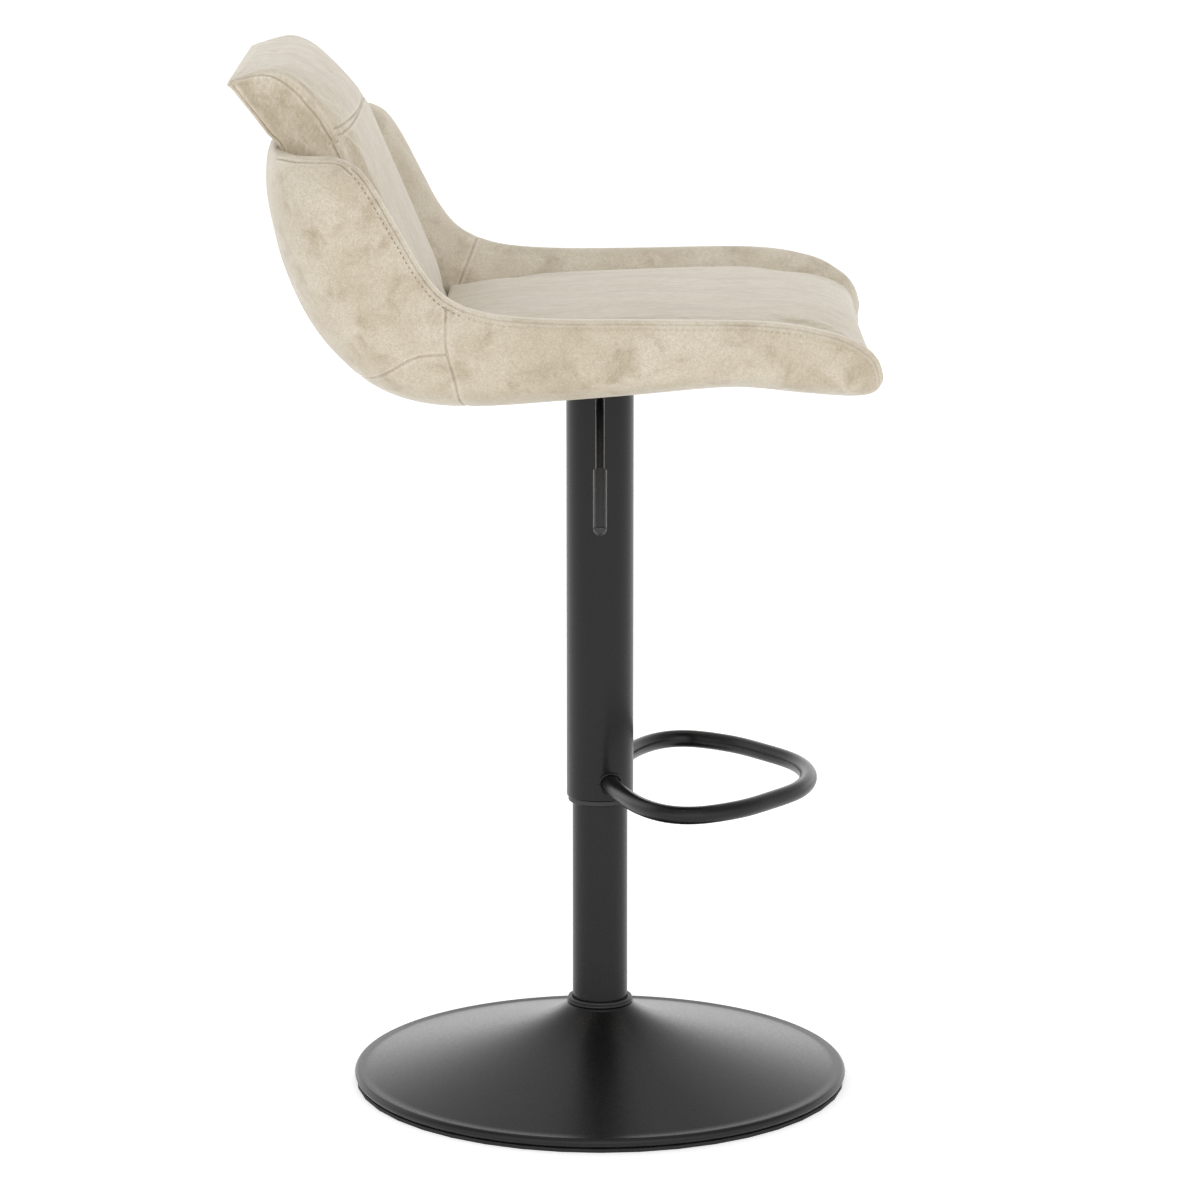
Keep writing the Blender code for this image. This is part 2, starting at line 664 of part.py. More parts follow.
def bucket_rib(under_y, under_z, floor, rim_y, rim_z, half_width):
    """One U-shaped slice of the bucket, from its underside up to the rim and back inside."""
    foot = Vector((under_y, under_z))
    head = Vector((rim_y, rim_z))
    height = (head - foot).length
    upright = min(max((rim_z - SEAT_RIM_Z) / (WING_TOP_Z - SEAT_RIM_Z), 0.0), 1.0)
    upright = upright if rim_y > 0 else 0.0
    blend = min(upright * 13, 1.0)
    inner = (half_width - BOLSTER_WIDTH) * (1 - blend) + WING_INNER * blend
    crest = min(RIM_CREST, 0.4 * height)
    drop = min(0.0215 + 0.017 * min(upright * 3, 1.0), 0.54 * height)
    outer = corner_curve(half_width, 0, height - crest, 4.6 - 1.5 * upright, 6)
    top = [(half_width - 0.25 * crest, height - 0.25 * crest), (half_width - crest, height)]
    lining = corner_curve(inner, floor, height - drop, 12, 4)
    return foot, head, outer + top + lining[::-1]


def bow_front(bm):
    """Draws the middle of the front edge back into a shallow curve."""
    for vertex in bm.verts:
        forward = min(max((BOW_START - vertex.co.y) / BOW_LENGTH, 0.0), 1.0)
        across = max(1 - (vertex.co.x / BOW_HALF_WIDTH) ** 2, 0.0)
        vertex.co.y += BOW_DEPTH * forward**2 * across
    return bm


def make_seat(body):
    stations = [(*under, *rim) for under, rim in zip(UNDERSIDE, RIM)]
    ribs = [bucket_rib(*station) for station in smooth_curve(stations, 2)]
    shell = add_piece("bucket_shell", bow_front(ribbed_form(ribs)), LEATHERETTE, body)
    opening = rounded_rectangle(*OPENING_SIZE, OPENING_CORNER, OPENING_CENTER)
    cut(shell, prism(opening, 0.640, 0.690), "underside_opening")

    ribs = []
    for y, low, high, half_width in SEAT_PAD_SLICES:
        rear = back_face_y(high) - 0.0015 if y > 0.12 else y
        ribs.append(pad_rib((y, low), (rear, high), half_width, PAD_CROWN, PAD_ROLL))
    add_piece("seat_pad", bow_front(ribbed_form(ribs)), LEATHERETTE, body)

    low, high, half_width = BACK_BOARD_LOW, BACK_BOARD_HIGH, BACK_BOARD_HALF_WIDTH
    add_piece("back_board", back_board_shape(low, high, half_width, 0), PLYWOOD, body)
    pads = [
        ("back_pad", BACK_PAD_SLICES, low - 0.030, high + 0.010),
        ("head_pad", HEAD_PAD_SLICES, low + 0.150, high + POCKET_SLACK),
    ]
    for name, slices, pocket_low, pocket_high in pads:
        ribs = []
        for front_y, front_z, rear_y, rear_z, pad_width, crown in slices:
            rear = (rear_y, rear_z)
            ribs.append(pad_rib(rear, (front_y, front_z), pad_width, crown, BACK_PAD_ROLL))
        pad = add_piece(name, ribbed_form(ribs), LEATHERETTE, body)
        pocket_width = half_width + POCKET_SLACK
        pocket = back_board_shape(pocket_low, pocket_high, pocket_width, POCKET_SLACK)
        cut(pad, pocket, f"{name}_pocket")


def back_board_shape(low, high, half_width, slack):
    """The leaning back board between two heights, or the room for it with some slack."""
    outline = []
    for z in (low, high):
        front = back_face_y(z) + BACK_BOARD_INSET
        edges = [(front - slack, z), (front + BACK_BOARD_DEPTH + slack, z)]
        outline += edges if z == low else edges[::-1]
    return prism(outline, -half_width, half_width, axis="X")


def back_face_y(z):
    """Y of the back pad's front face at a height."""
    return BACK_FACE_Y + BACK_LEAN * (z - BACK_FACE_Z)


def pad_rib(foot, head, half_width, crown, roll):
    """A slice of a pad: flat along the foot, rounded at its edge, and crowned at the head."""
    thickness = (Vector(head) - Vector(foot)).length
    roll = min(roll, 0.4 * thickness)
    section = [(0, 0), (half_width - PAD_EDGE, 0), (half_width, thickness - roll)]
    section.append((half_width - 0.3 * roll, thickness - 0.3 * roll))
    for part in (1, 0.75, 0.5, 0.25, 0):
        x = (half_width - roll) * part
        section.append((x, thickness + crown * (1 - (x / half_width) ** 2)))
    return Vector(foot), Vector(head), section


def make_lever(body):
    straight = 0.070
    bend = 0.018
    run = Vector((-math.cos(LEVER_SLOPE), 0, -math.sin(LEVER_SLOPE)))
    fall = Vector((-math.cos(LEVER_DROP), 0, -math.sin(LEVER_DROP)))
    elbow = run * straight
    path = [Vector((0.041, 0, 0)), Vector((0.015, 0, 0)), Vector((0, 0, 0)), run * 0.03]
    for step in range(5):
        t = step / 4
        start = elbow - run * bend
        end = elbow + fall * bend
        path.append(start.lerp(elbow, t).lerp(elbow.lerp(end, t), t))
    grip_top = elbow + fall * 0.062
    grip_end = grip_top + fall * GRIP_LENGTH
    path.append(grip_end - fall * 0.008)
    rod = add_piece("lever_rod", swept_tube(path, LEVER_RADIUS, 8), BLACK_STEEL, body)
    along_y = Matrix.Rotation(math.pi / 2, 4, "X")
    boss = turned_shape([(0, -0.006), (0.0065, -0.006), (0.0065, 0.006), (0, 0.006)], 16, along_y)
    combine(rod, boss, "lever_boss", "UNION")
    hole = turned_shape([(0, -0.02), (0.0023, -0.02), (0.0023, 0.02), (0, 0.02)], 16, along_y)
    cut(rod, hole, "boss_hole")

    bore = LEVER_RADIUS + GAP
    grip = [(bore, 0), (GRIP_RADIUS - 0.001, 0), (GRIP_RADIUS, 0.001)]
    grip += [(GRIP_RADIUS, GRIP_LENGTH - 0.005)]
    grip += arc((0.001, GRIP_LENGTH - 0.005), 0.005, 0, 90, 4)
    grip += [(0, GRIP_LENGTH), (0, GRIP_LENGTH - 0.006), (bore, GRIP_LENGTH - 0.006)]
    turn = fall.to_track_quat("Z", "Y").to_matrix().to_4x4()
    matrix = Matrix.Translation(grip_top) @ turn
    add_piece("lever_grip", turned_shape(grip, 16, matrix), BLACK_PLASTIC, body)


def make_valve(body):
    pin = [(0, -0.018), (VALVE_RADIUS, -0.018), (VALVE_RADIUS, 0.0045), (0, 0.0045)]
    add_piece("valve_pin", turned_shape(pin, 16), BARE_STEEL, body)


def main():
    clear_scene()
    base = body_empty("base", (0, 0, 0))
    swivel = body_empty("swivel", (0, 0, 0), base)
    carriage = body_empty("carriage", (0, 0, 0), swivel)
    lever = body_empty("lever", (PIVOT_X, 0, PIVOT_Z), carriage)
    valve = body_empty("valve", (0, 0, CYLINDER_TOP), carriage)
    make_base(base)
    make_pole(base)
    make_swivel(swivel)
    make_gas_spring(carriage)
    make_sleeve(carriage)
    make_footrest(carriage)
    make_mechanism(carriage)
    make_seat(carriage)
    make_lever(lever)
    make_valve(valve)


main()
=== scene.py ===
"""The looks of the adjustable swivel stool: upholstery, powder coat, floor, light and camera.

Metres, +Z up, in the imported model's frame: the stool faces -Y and the lever is at -X.
"""

import json
import math

import bmesh
import bpy
from mathutils import Matrix, Vector
from mathutils.bvhtree import BVHTree
from mathutils.kdtree import KDTree


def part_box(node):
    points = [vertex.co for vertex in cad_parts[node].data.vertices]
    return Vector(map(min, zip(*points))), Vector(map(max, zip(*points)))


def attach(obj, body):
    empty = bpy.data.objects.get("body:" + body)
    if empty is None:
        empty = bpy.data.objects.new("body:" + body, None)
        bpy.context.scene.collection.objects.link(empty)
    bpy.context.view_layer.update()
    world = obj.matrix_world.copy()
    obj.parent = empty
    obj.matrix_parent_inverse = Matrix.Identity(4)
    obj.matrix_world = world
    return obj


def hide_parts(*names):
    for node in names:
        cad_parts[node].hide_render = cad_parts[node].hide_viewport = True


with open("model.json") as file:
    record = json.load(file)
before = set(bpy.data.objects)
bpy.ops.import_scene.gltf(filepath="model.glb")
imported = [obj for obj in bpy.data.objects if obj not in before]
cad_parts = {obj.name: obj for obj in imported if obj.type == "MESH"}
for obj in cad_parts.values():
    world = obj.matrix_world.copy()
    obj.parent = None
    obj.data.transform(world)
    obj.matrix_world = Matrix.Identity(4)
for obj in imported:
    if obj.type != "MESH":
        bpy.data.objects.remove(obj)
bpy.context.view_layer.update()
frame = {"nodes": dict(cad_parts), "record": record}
nodes = frame["nodes"]

# Stations of the bucket: underside (y, z), wall thickness, rim (y, z), half-width
STATIONS = [
    (-0.2385, 0.6760, 0.0008, -0.2398, 0.6785, 0.198),
    (-0.2340, 0.6705, 0.0030, -0.2412, 0.6830, 0.206),
    (-0.2260, 0.6660, 0.0040, -0.2410, 0.6890, 0.213),
    (-0.2150, 0.6637, 0.0040, -0.2365, 0.7025, 0.221),
    (-0.2000, 0.6640, 0.0040, -0.2245, 0.7150, 0.230),
    (-0.1680, 0.6665, 0.0030, -0.1960, 0.7287, 0.239),
    (-0.1100, 0.6700, 0.0020, -0.1400, 0.7375, 0.236),
    (-0.0300, 0.6610, 0.0040, -0.0300, 0.7377, 0.226),
    (0.0400, 0.6545, 0.0040, 0.0340, 0.7377, 0.224),
    (0.1050, 0.6495, 0.0050, 0.0840, 0.7408, 0.223),
    (0.1550, 0.6520, 0.0080, 0.1140, 0.7482, 0.224),
    (0.1950, 0.6655, 0.0120, 0.1340, 0.7600, 0.226),
    (0.2280, 0.6910, 0.0140, 0.1500, 0.7797, 0.228),
    (0.2550, 0.7250, 0.0140, 0.1640, 0.8050, 0.233),
    (0.2755, 0.7700, 0.0140, 0.1770, 0.8295, 0.240),
    (0.2870, 0.8150, 0.0140, 0.1885, 0.8495, 0.242),
    (0.2905, 0.8400, 0.0130, 0.1985, 0.8630, 0.239),
    (0.2900, 0.8580, 0.0120, 0.2080, 0.8700, 0.232),
    (0.2880, 0.8690, 0.0110, 0.2170, 0.8733, 0.226),
    (0.2840, 0.8745, 0.0080, 0.2250, 0.8750, 0.219),
    (0.2790, 0.8760, 0.0040, 0.2330, 0.8755, 0.211),
]
RIBS_PER_SPAN = 7
WING_STATION = 10
WING_TOP_STATION = 16

# How the rim rises from the seat into the wings, and turns between them
SEAT_RIM_Z = 0.738
WING_TOP_Z = 0.8745
WING_BLEND = 13
BOLSTER_WIDTH = 0.050
WING_INNER = 0.1515
TURN_AT = 0.08
TURN_SPREAD = 0.06
TURN_DROP = 0.020
RIM_STEPS = 4

# How the wings' tops fall away inside their crests: where it starts and over what length
TOP_SINK = 0.011
SINK_X = (0.208, 0.050)
SINK_Y = (0.278, 0.020)
SINK_Z = (0.845, 0.025)

# Seams and threads: their distances outside the rim's crest, their sizes, and how far
# the mesh is refined round them
RIM_SEAM = 0.0085
RIM_STITCH = 0.0140
STITCH_PITCH = 0.0050
STITCH_LENGTH = 0.0028
STITCH_RADIUS = 0.00042
SEAM_STEPS = 12
SHELL_REACHES = (0.0060, 0.0042, 0.0026)
PAD_REACHES = (0.0055, 0.0038, 0.0024)

# The ribs at which the rim's lines start, and how far they run past the wings' tops
SEAT_SEAM_START = 12
SEAT_THREAD_START = 16
CREST_START = 8
SEAM_OVERRUN = 6
THREAD_OVERRUN = 4
CREST_OVERRUN = 18

# Seams of the shell, mirrored to its other side (x, y, z)
OUTER_SEAM = [
    (0.2300, 0.1290, 0.7500),
    (0.2320, 0.1305, 0.7320),
    (0.2300, 0.1300, 0.7105),
    (0.2120, 0.1225, 0.6830),
    (0.1600, 0.1130, 0.6560),
    (0.1200, 0.1080, 0.6510),
]
REAR_SEAM = [
    (0.2300, 0.1305, 0.7080),
    (0.2270, 0.1550, 0.7055),
    (0.2160, 0.1730, 0.6970),
    (0.1900, 0.1960, 0.6835),
    (0.1400, 0.2120, 0.6760),
    (0.0700, 0.2170, 0.6720),
    (0.0000, 0.2180, 0.6710),
]
LINING_SEAM = [
    (0.2130, 0.1150, 0.7470),
    (0.1985, 0.1166, 0.7425),
    (0.1850, 0.1195, 0.7355),
    (0.1700, 0.1245, 0.7240),
    (0.1580, 0.1290, 0.7130),
    (0.1520, 0.1320, 0.7040),
]

# The seam over the wing's top (y, z)
WING_TOP_SEAM = [
    (0.2170, 0.8703),
    (0.2240, 0.8722),
    (0.2330, 0.8726),
    (0.2450, 0.8726),
    (0.2600, 0.8722),
    (0.2740, 0.8710),
]

# How the skin is painted pale as a highlight along the crests and on the lips beside the seams
CREST_OFFSET = 0.0022
CREST_WIDTH = 0.0026
LIP_OFFSET = 0.0022
LIP_WIDTH = 0.0010
LIP_HIGHLIGHT = 0.28
CREST_FADE = 0.12
SHELL_CREST_HIGHLIGHT = 1.0
PAD_CREST_HIGHLIGHT = 0.35

# Seat cushion slices (y, low z, high z, half-width)
SEAT_SLICES = [
    (-0.2412, 0.6768, 0.6850, 0.150),
    (-0.2406, 0.6765, 0.6930, 0.155),
    (-0.2362, 0.6735, 0.7030, 0.164),
    (-0.2260, 0.6700, 0.7110, 0.174),
    (-0.2050, 0.6700, 0.7172, 0.182),
    (-0.1500, 0.6865, 0.7240, 0.184),
    (-0.0500, 0.6865, 0.7240, 0.174),
    (0.0400, 0.6865, 0.7205, 0.171),
    (0.0900, 0.6865, 0.7180, 0.165),
    (0.1320, 0.6865, 0.7110, 0.150),
]
SEAT_CROWN = 0.003
SEAT_ROLL = 0.007
SEAT_BACK_START = 0.12
SEAT_GAP = 0.004
HIDDEN_ROLL = 0.004

# How the middle of the seat's front edge is drawn back
BOW_START = -0.205
BOW_LENGTH = 0.035
BOW_HALF_WIDTH = 0.205
BOW_DEPTH = 0.006

# Back cushion slices: front (y, z), rear (y, z) and half-width
BACK_SLICES = [
    (0.1370, 0.6900, 0.1900, 0.6920, 0.148),
    (0.1420, 0.7040, 0.2073, 0.7040, 0.151),
    (0.1566, 0.7400, 0.2356, 0.7400, 0.151),
    (0.1779, 0.7900, 0.2569, 0.7900, 0.151),
    (0.1991, 0.8400, 0.2680, 0.8400, 0.151),
    (0.2148, 0.8770, 0.2740, 0.8740, 0.152),
    (0.2215, 0.8900, 0.2850, 0.8880, 0.154),
    (0.2320, 0.9070, 0.2970, 0.9040, 0.155),
    (0.2480, 0.9270, 0.3080, 0.9180, 0.155),
    (0.2650, 0.9400, 0.3150, 0.9265, 0.155),
    (0.2810, 0.9445, 0.3180, 0.9285, 0.155),
    (0.2960, 0.9415, 0.3180, 0.9310, 0.151),
    (0.3080, 0.9372, 0.3160, 0.9335, 0.145),
    (0.3115, 0.9355, 0.3145, 0.9342, 0.140),
]
BACK_CROWN = 0.009
BACK_ROLL = 0.012
GUSSET_SEAM = 0.013
GUSSET_RIBS = slice(10, -9)
CROSS_SEAM_REACH = 0.152

# The plane of the back cushion's face below the wings' tops
FACE_Y = 0.143
FACE_Z = 0.708
FACE_SLOPE = 0.425

# Where the cushions' covers are stapled down
BOARD_TOP = 0.6955
FRONT_FREE = -0.215
SHELL_TOP = 0.868
TUCK = 0.025
REAR_Y = 0.274
REAR_Z = 0.8785
REAR_SLOPE = 0.79

# The simulation of the covers: the farthest they swell, the pressure, and its length
SWELL_CAP = 0.004
PRESSURE = 3.0
FRAMES = 20

# The turned metal and plastic
POLE_BORE = 0.0253
TUBE_WALL = 0.002
DISH_RADIUS = 0.225
DISH_SHEET = 0.0025
DISH_ROLL = 0.0045
DISH_RIM_HEIGHT = 0.0095
DISH_SLOPE = 0.262
NECK_RADIUS = 0.031
NECK_FLARE = 0.0107
FLARE_LENGTH = 0.0217
TURN_STEPS = 160
LEVER_PIVOT = (-0.035, 0, 0.655)

# The studio. The world is dimmer with height and brighter to the sides: each range is
# (low, high, strength at low, strength at high)
FADE = (0.15, 0.60, 1.0, 0.46)
BOOST = (0.10, 0.90, 1.0, 1.8)
FLOOR_GLOW = 0.45
LENS = 153.12
CAMERA_TILT = 12.018
CAMERA_PLACE = (-4.5, 0, 1.4062)


# ---------------- shapes


def clamped(value):
    """A value held between 0 and 1."""
    return min(max(value, 0.0), 1.0)


def smooth_curve(points, per_span):
    """A Catmull-Rom curve through the points, each any number of values long."""
    first = [2 * a - b for a, b in zip(points[0], points[1])]
    last = [2 * a - b for a, b in zip(points[-1], points[-2])]
    padded = [first, *points, last]
    curve = []
    for before, start, end, after in zip(padded, padded[1:], padded[2:], padded[3:]):
        for step in range(per_span):
            t = step / per_span
            curve.append([
                0.5 * (2 * b + (c - a) * t + (2 * a - 5 * b + 4 * c - d) * t**2
                       + (3 * b - a - 3 * c + d) * t**3)
                for a, b, c, d in zip(before, start, end, after)
            ])
    curve.append(list(points[-1]))
    return curve


def evenly(points, count):
    """The points of a polyline spaced evenly along its length."""
    lengths = [0.0]
    for a, b in zip(points, points[1:]):
        lengths.append(lengths[-1] + math.dist(a, b))
    spaced = []
    at = 0
    for k in range(count):
        target = lengths[-1] * k / (count - 1)
        while at < len(points) - 2 and lengths[at + 1] < target:
            at += 1
        span = max(lengths[at + 1] - lengths[at], 1e-12)
        t = clamped((target - lengths[at]) / span)
        spaced.append(tuple(a + (b - a) * t for a, b in zip(points[at], points[at + 1])))
    return spaced


def corner_curve(half_width, low, high, power, steps):
    """A squared-off quarter curve from (0, low) out to (half_width, high)."""
    points = []
    for i in range(steps + 1):
        t = math.pi / 2 * i / steps
        x = half_width * math.sin(t) ** (2 / power)
        b = low + (high - low) * (1 - max(math.cos(t), 0.0) ** (2 / power))
        points.append((x, b))
    return points


def bridge(bm, rings):
    """Joins each ring of vertices to the next with four-sided faces."""
    for lower, upper in zip(rings, rings[1:]):
        for k in range(len(lower)):
            n = (k + 1) % len(lower)
            bm.faces.new((lower[k], lower[n], upper[n], upper[k]))


def round_ring(bm, center, side, up, radius, count):
    """A ring of vertices round a centre, in the plane of two directions."""
    ring = []
    for k in range(count):
        angle = math.tau * k / count
        offset = side * math.cos(angle) + up * math.sin(angle)
        ring.append(bm.verts.new(center + offset * radius))
    return ring


def close_tube(bm, rings):
    """Joins the rings of a tube and closes both its ends."""
    bridge(bm, rings)
    bm.faces.new(rings[0][::-1])
    bm.faces.new(rings[-1])


def ribbed_form(ribs):
    """A closed form through ribs: the foot and head as (y, z), and half a section of
    (x, distance from the foot towards the head), from the middle round to the middle."""
    bm = bmesh.new()
    rings = []
    for foot, head, section in ribs:
        foot = Vector(foot)
        direction = (Vector(head) - foot).normalized()
        left = [(-x, b) for x, b in reversed(section) if x > 1e-9]
        ring = []
        for x, b in section + left:
            y, z = foot + direction * b
            ring.append(bm.verts.new((x, y, z)))
        rings.append(ring)
    bridge(bm, rings)
    close_end(bm, rings[0])
    close_end(bm, rings[-1])
    bmesh.ops.recalc_face_normals(bm, faces=bm.faces)
    return bm, rings


def close_end(bm, ring):
    """Closes a ring: each half is filled between its outward run and its way back."""
    middle = len(ring) // 2
    right = ring[: middle + 1]
    left = [ring[0]] + ring[middle:][::-1]
    for half in (right, left):
        for i in range(middle // 2):
            corners = []
            for vertex in (half[i], half[i + 1], half[middle - i - 1], half[middle - i]):
                if vertex not in corners:
                    corners.append(vertex)
            if len(corners) > 2:
                bm.faces.new(corners)


def bow_front(bm):
    """Draws the middle of the seat's front edge back into a shallow curve."""
    for vertex in bm.verts:
        forward = clamped((BOW_START - vertex.co.y) / BOW_LENGTH)
        across = max(1 - (vertex.co.x / BOW_HALF_WIDTH) ** 2, 0.0)
        vertex.co.y += BOW_DEPTH * forward**2 * across


def turned_shape(profile, steps, matrix=None):
    """A closed outline of (radius, height) points, spun once round Z."""
    bm = bmesh.new()
    corners = [bm.verts.new((radius, 0, height)) for radius, height in profile]
    edges = [bm.edges.new(pair) for pair in zip(corners, corners[1:] + corners[:1])]
    bmesh.ops.spin(
        bm,
        geom=corners + edges,
        cent=(0, 0, 0),
        axis=(0, 0, 1),
        angle=math.tau,
        steps=steps,
        use_merge=True,
    )
    bmesh.ops.remove_doubles(bm, verts=bm.verts, dist=1e-6)
    bmesh.ops.recalc_face_normals(bm, faces=bm.faces)
    if matrix:
        bm.transform(matrix)
    return bm


def arc(center, radius, start, end, steps):
    """Points of a round stretch of an outline, from one angle to another in degrees."""
    angles = [math.radians(start + (end - start) * i / steps) for i in range(steps + 1)]
    x, y = center
    return [(x + radius * math.cos(a), y + radius * math.sin(a)) for a in angles]


def swept_tube(path, radius, sides):
    """A round bar along a path, closed at its ends. The radius may change along it."""
    bm = bmesh.new()
    path = [Vector(point) for point in path]
    radii = radius if isinstance(radius, list) else [radius] * len(path)
    side = None
    rings = []
    for i, point in enumerate(path):
        ahead = path[min(i + 1, len(path) - 1)]
        behind = path[max(i - 1, 0)]
        tangent = (ahead - behind).normalized()
        side = side or tangent.orthogonal()
        side = (side - tangent * side.dot(tangent)).normalized()
        rings.append(round_ring(bm, point, side, tangent.cross(side), radii[i], sides))
    close_tube(bm, rings)
    bmesh.ops.recalc_face_normals(bm, faces=bm.faces)
    return bm


def new_mesh(name, bm):
    """A mesh made of a bmesh, which is freed."""
    mesh = bpy.data.meshes.new(name)
    bm.to_mesh(mesh)
    bm.free()
    return mesh


def new_object(name, data):
    """An object of some data, linked to the scene."""
    made = bpy.data.objects.new(name, data)
    bpy.context.scene.collection.objects.link(made)
    return made


def add_piece(name, bm, material, body, sharp=None):
    """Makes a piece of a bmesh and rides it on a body."""
    mesh = new_mesh(name, bm)
    mesh.shade_smooth()
    if sharp:
        mesh.set_sharp_from_angle(angle=math.radians(sharp))
    mesh.materials.append(material)
    piece = new_object(name, mesh)
    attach(piece, body)
    return piece


# ---------------- seams


def refine_near(bm, lines, reaches):
    """Splits the edges near the lines once for each reach, so that a seam can be pressed in."""
    tree = line_tree(lines)
    for reach in reaches:
        edges = []
        for edge in bm.edges:
            middle = (edge.verts[0].co + edge.verts[1].co) / 2
            if edge.calc_length() > reach * 0.22 and tree.find(middle)[2] < reach:
                edges.append(edge)
        bmesh.ops.subdivide_edges(bm, edges=edges, cuts=1, use_grid_fill=True, smooth=0.0)
        crowded = [face for face in bm.faces if len(face.verts) > 4]
        bmesh.ops.triangulate(bm, faces=crowded)


def line_tree(lines):
    """A search tree of all the points of the lines."""
    points = [Vector(p) for line in lines for p in line]
    tree = KDTree(len(points))
    for index, point in enumerate(points):
        tree.insert(point, index)
    tree.balance()
    return tree


def press_seams(bm, lines, depth=0.0017, width=0.0008, pull=0.0005, pull_width=0.0035):
    """Presses the lines into the skin as sewn seams: a narrow crease in a shallow valley."""
    tree = line_tree(lines)
    bm.normal_update()
    moves = []
    for vertex in bm.verts:
        distance = tree.find(vertex.co)[2]
        if distance < 4 * pull_width:
            inward = depth * math.exp(-((distance / width) ** 2))
            inward += pull * math.exp(-((distance / pull_width) ** 2))
            moves.append((vertex, vertex.normal * -inward))
    for vertex, move in moves:
        vertex.co += move


def mark_highlights(bm, seams, crests, crest_highlight):
    """Stores a painted highlight on the skin: along the crests, and on the lips beside the seams.
    """
    layer = bm.verts.layers.float.new("painted_highlight")
    seam_tree = line_tree(seams)
    crest_tree = line_tree(crests)
    fade = []
    for line in crests:
        ends = CREST_FADE * len(line)
        fade += [min(i / ends, (len(line) - 1 - i) / ends, 1.0) for i in range(len(line))]
    for vertex in bm.verts:
        beside = seam_tree.find(vertex.co)[2] - LIP_OFFSET
        lip = LIP_HIGHLIGHT * math.exp(-((beside / LIP_WIDTH) ** 2))
        nearest, distance = crest_tree.find(vertex.co)[1:]
        crest = crest_highlight * fade[nearest] * math.exp(-((distance / CREST_WIDTH) ** 2))
        vertex[layer] = max(lip, crest)


def dense(points, spacing=0.0005):
    """A polyline with its points at most a spacing apart."""
    length = sum(math.dist(a, b) for a, b in zip(points, points[1:]))
    return evenly(points, max(int(length / spacing), 2))


def on_surface(tree, points):
    """The points moved to the nearest place of a surface."""
    return [tuple(tree.find_nearest(Vector(p))[0]) for p in points]


def stitches(lines, surface):
    """A row of short threads along each line, half sunk in the surface."""
    bm = bmesh.new()
    for line in lines:
        total = sum(math.dist(a, b) for a, b in zip(line, line[1:]))
        count = int(total / STITCH_PITCH)
        marks = [Vector(p) for p in evenly(line, count * 2 + 1)]
        for k in range(count):
            middle = marks[2 * k + 1]
            along = (marks[2 * k + 2] - marks[2 * k]).normalized()
            place, normal = surface.find_nearest(middle)[:2]
            across = normal.cross(along).normalized()
            rings = []
            for t in (-1.0, -0.75, 0.0, 0.75, 1.0):
                lift = STITCH_RADIUS * (0.55 - 1.3 * t * t)
                size = STITCH_RADIUS * (1.0 if abs(t) < 0.9 else 0.5)
                center = place + along * (t * STITCH_LENGTH / 2) + normal * lift
                rings.append(round_ring(bm, center, across, normal, size, 6))
            close_tube(bm, rings)
    bmesh.ops.recalc_face_normals(bm, faces=bm.faces)
    return bm


# ---------------- materials


class Nodes:
    """A node tree being built: short ways to add and link nodes, and coordinates to use."""

    def __init__(self, tree, coordinates):
        self.tree = tree
        self.place = self.node("ShaderNodeTexCoord").outputs[coordinates]

    def node(self, kind, **inputs):
        made = self.tree.nodes.new(kind)
        for socket, value in inputs.items():
            made.inputs[socket.replace("_", " ")].default_value = value
        return made

    def link(self, output, socket):
        self.tree.links.new(output, socket)

    def stretched(self, x, y, z):
        """The coordinates, stretched along an axis by a value under 1."""
        mapping = self.node("ShaderNodeMapping", Scale=(x, y, z))
        self.link(self.place, mapping.inputs["Vector"])
        return mapping.outputs["Vector"]

    def noise(self, scale, detail=4.0, rough=0.55, distortion=0.0, place=None):
        made = self.node(
            "ShaderNodeTexNoise", Scale=scale, Detail=detail, Roughness=rough, Distortion=distortion
        )
        self.link(place or self.place, made.inputs["Vector"])
        return made.outputs["Fac"]

    def ramp(self, value, low, high, at_low=0.0, at_high=1.0):
        """A value eased from one range onto another."""
        made = self.node("ShaderNodeMapRange")
        made.interpolation_type = "SMOOTHSTEP"
        self.link(value, made.inputs["Value"])
        for socket, number in zip(made.inputs[1:5], (low, high, at_low, at_high)):
            socket.default_value = number
        return made.outputs["Result"]

    def math(self, kind, a, b):
        made = self.node("ShaderNodeMath")
        made.operation = kind
        for socket, value in zip(made.inputs, (a, b)):
            if isinstance(value, (int, float)):
                socket.default_value = value
            else:
                self.link(value, socket)
        return made.outputs[0]

    def mix(self, factor, a, b):
        """Two colours mixed. Each may be a colour or an output."""
        made = self.node("ShaderNodeMix")
        made.data_type = "RGBA"
        for socket, value in zip((made.inputs[0], made.inputs[6], made.inputs[7]), (factor, a, b)):
            if isinstance(value, tuple):
                socket.default_value = (*value, 1.0)
            elif isinstance(value, (int, float)):
                socket.default_value = value
            else:
                self.link(value, socket)
        return made.outputs[2]


class Look(Nodes):
    """A material being built, and its shader."""

    def __init__(self, name, **values):
        self.material = bpy.data.materials.new(name)
        self.material.use_nodes = True
        super().__init__(self.material.node_tree, "Object")
        self.shader = self.tree.nodes["Principled BSDF"]
        for socket, value in values.items():
            self.shader.inputs[socket.replace("_", " ")].default_value = value

    def color(self, output):
        self.link(output, self.shader.inputs["Base Color"])

    def roughness(self, output):
        self.link(output, self.shader.inputs["Roughness"])

    def bump(self, heights):
        """Adds bumps, each a height output, its depth in metres and its strength."""
        normal = None
        for height, depth, strength in heights:
            made = self.node("ShaderNodeBump", Strength=strength, Distance=depth)
            self.link(height, made.inputs["Height"])
            if normal:
                self.link(normal, made.inputs["Normal"])
            normal = made.outputs["Normal"]
        self.link(normal, self.shader.inputs["Normal"])


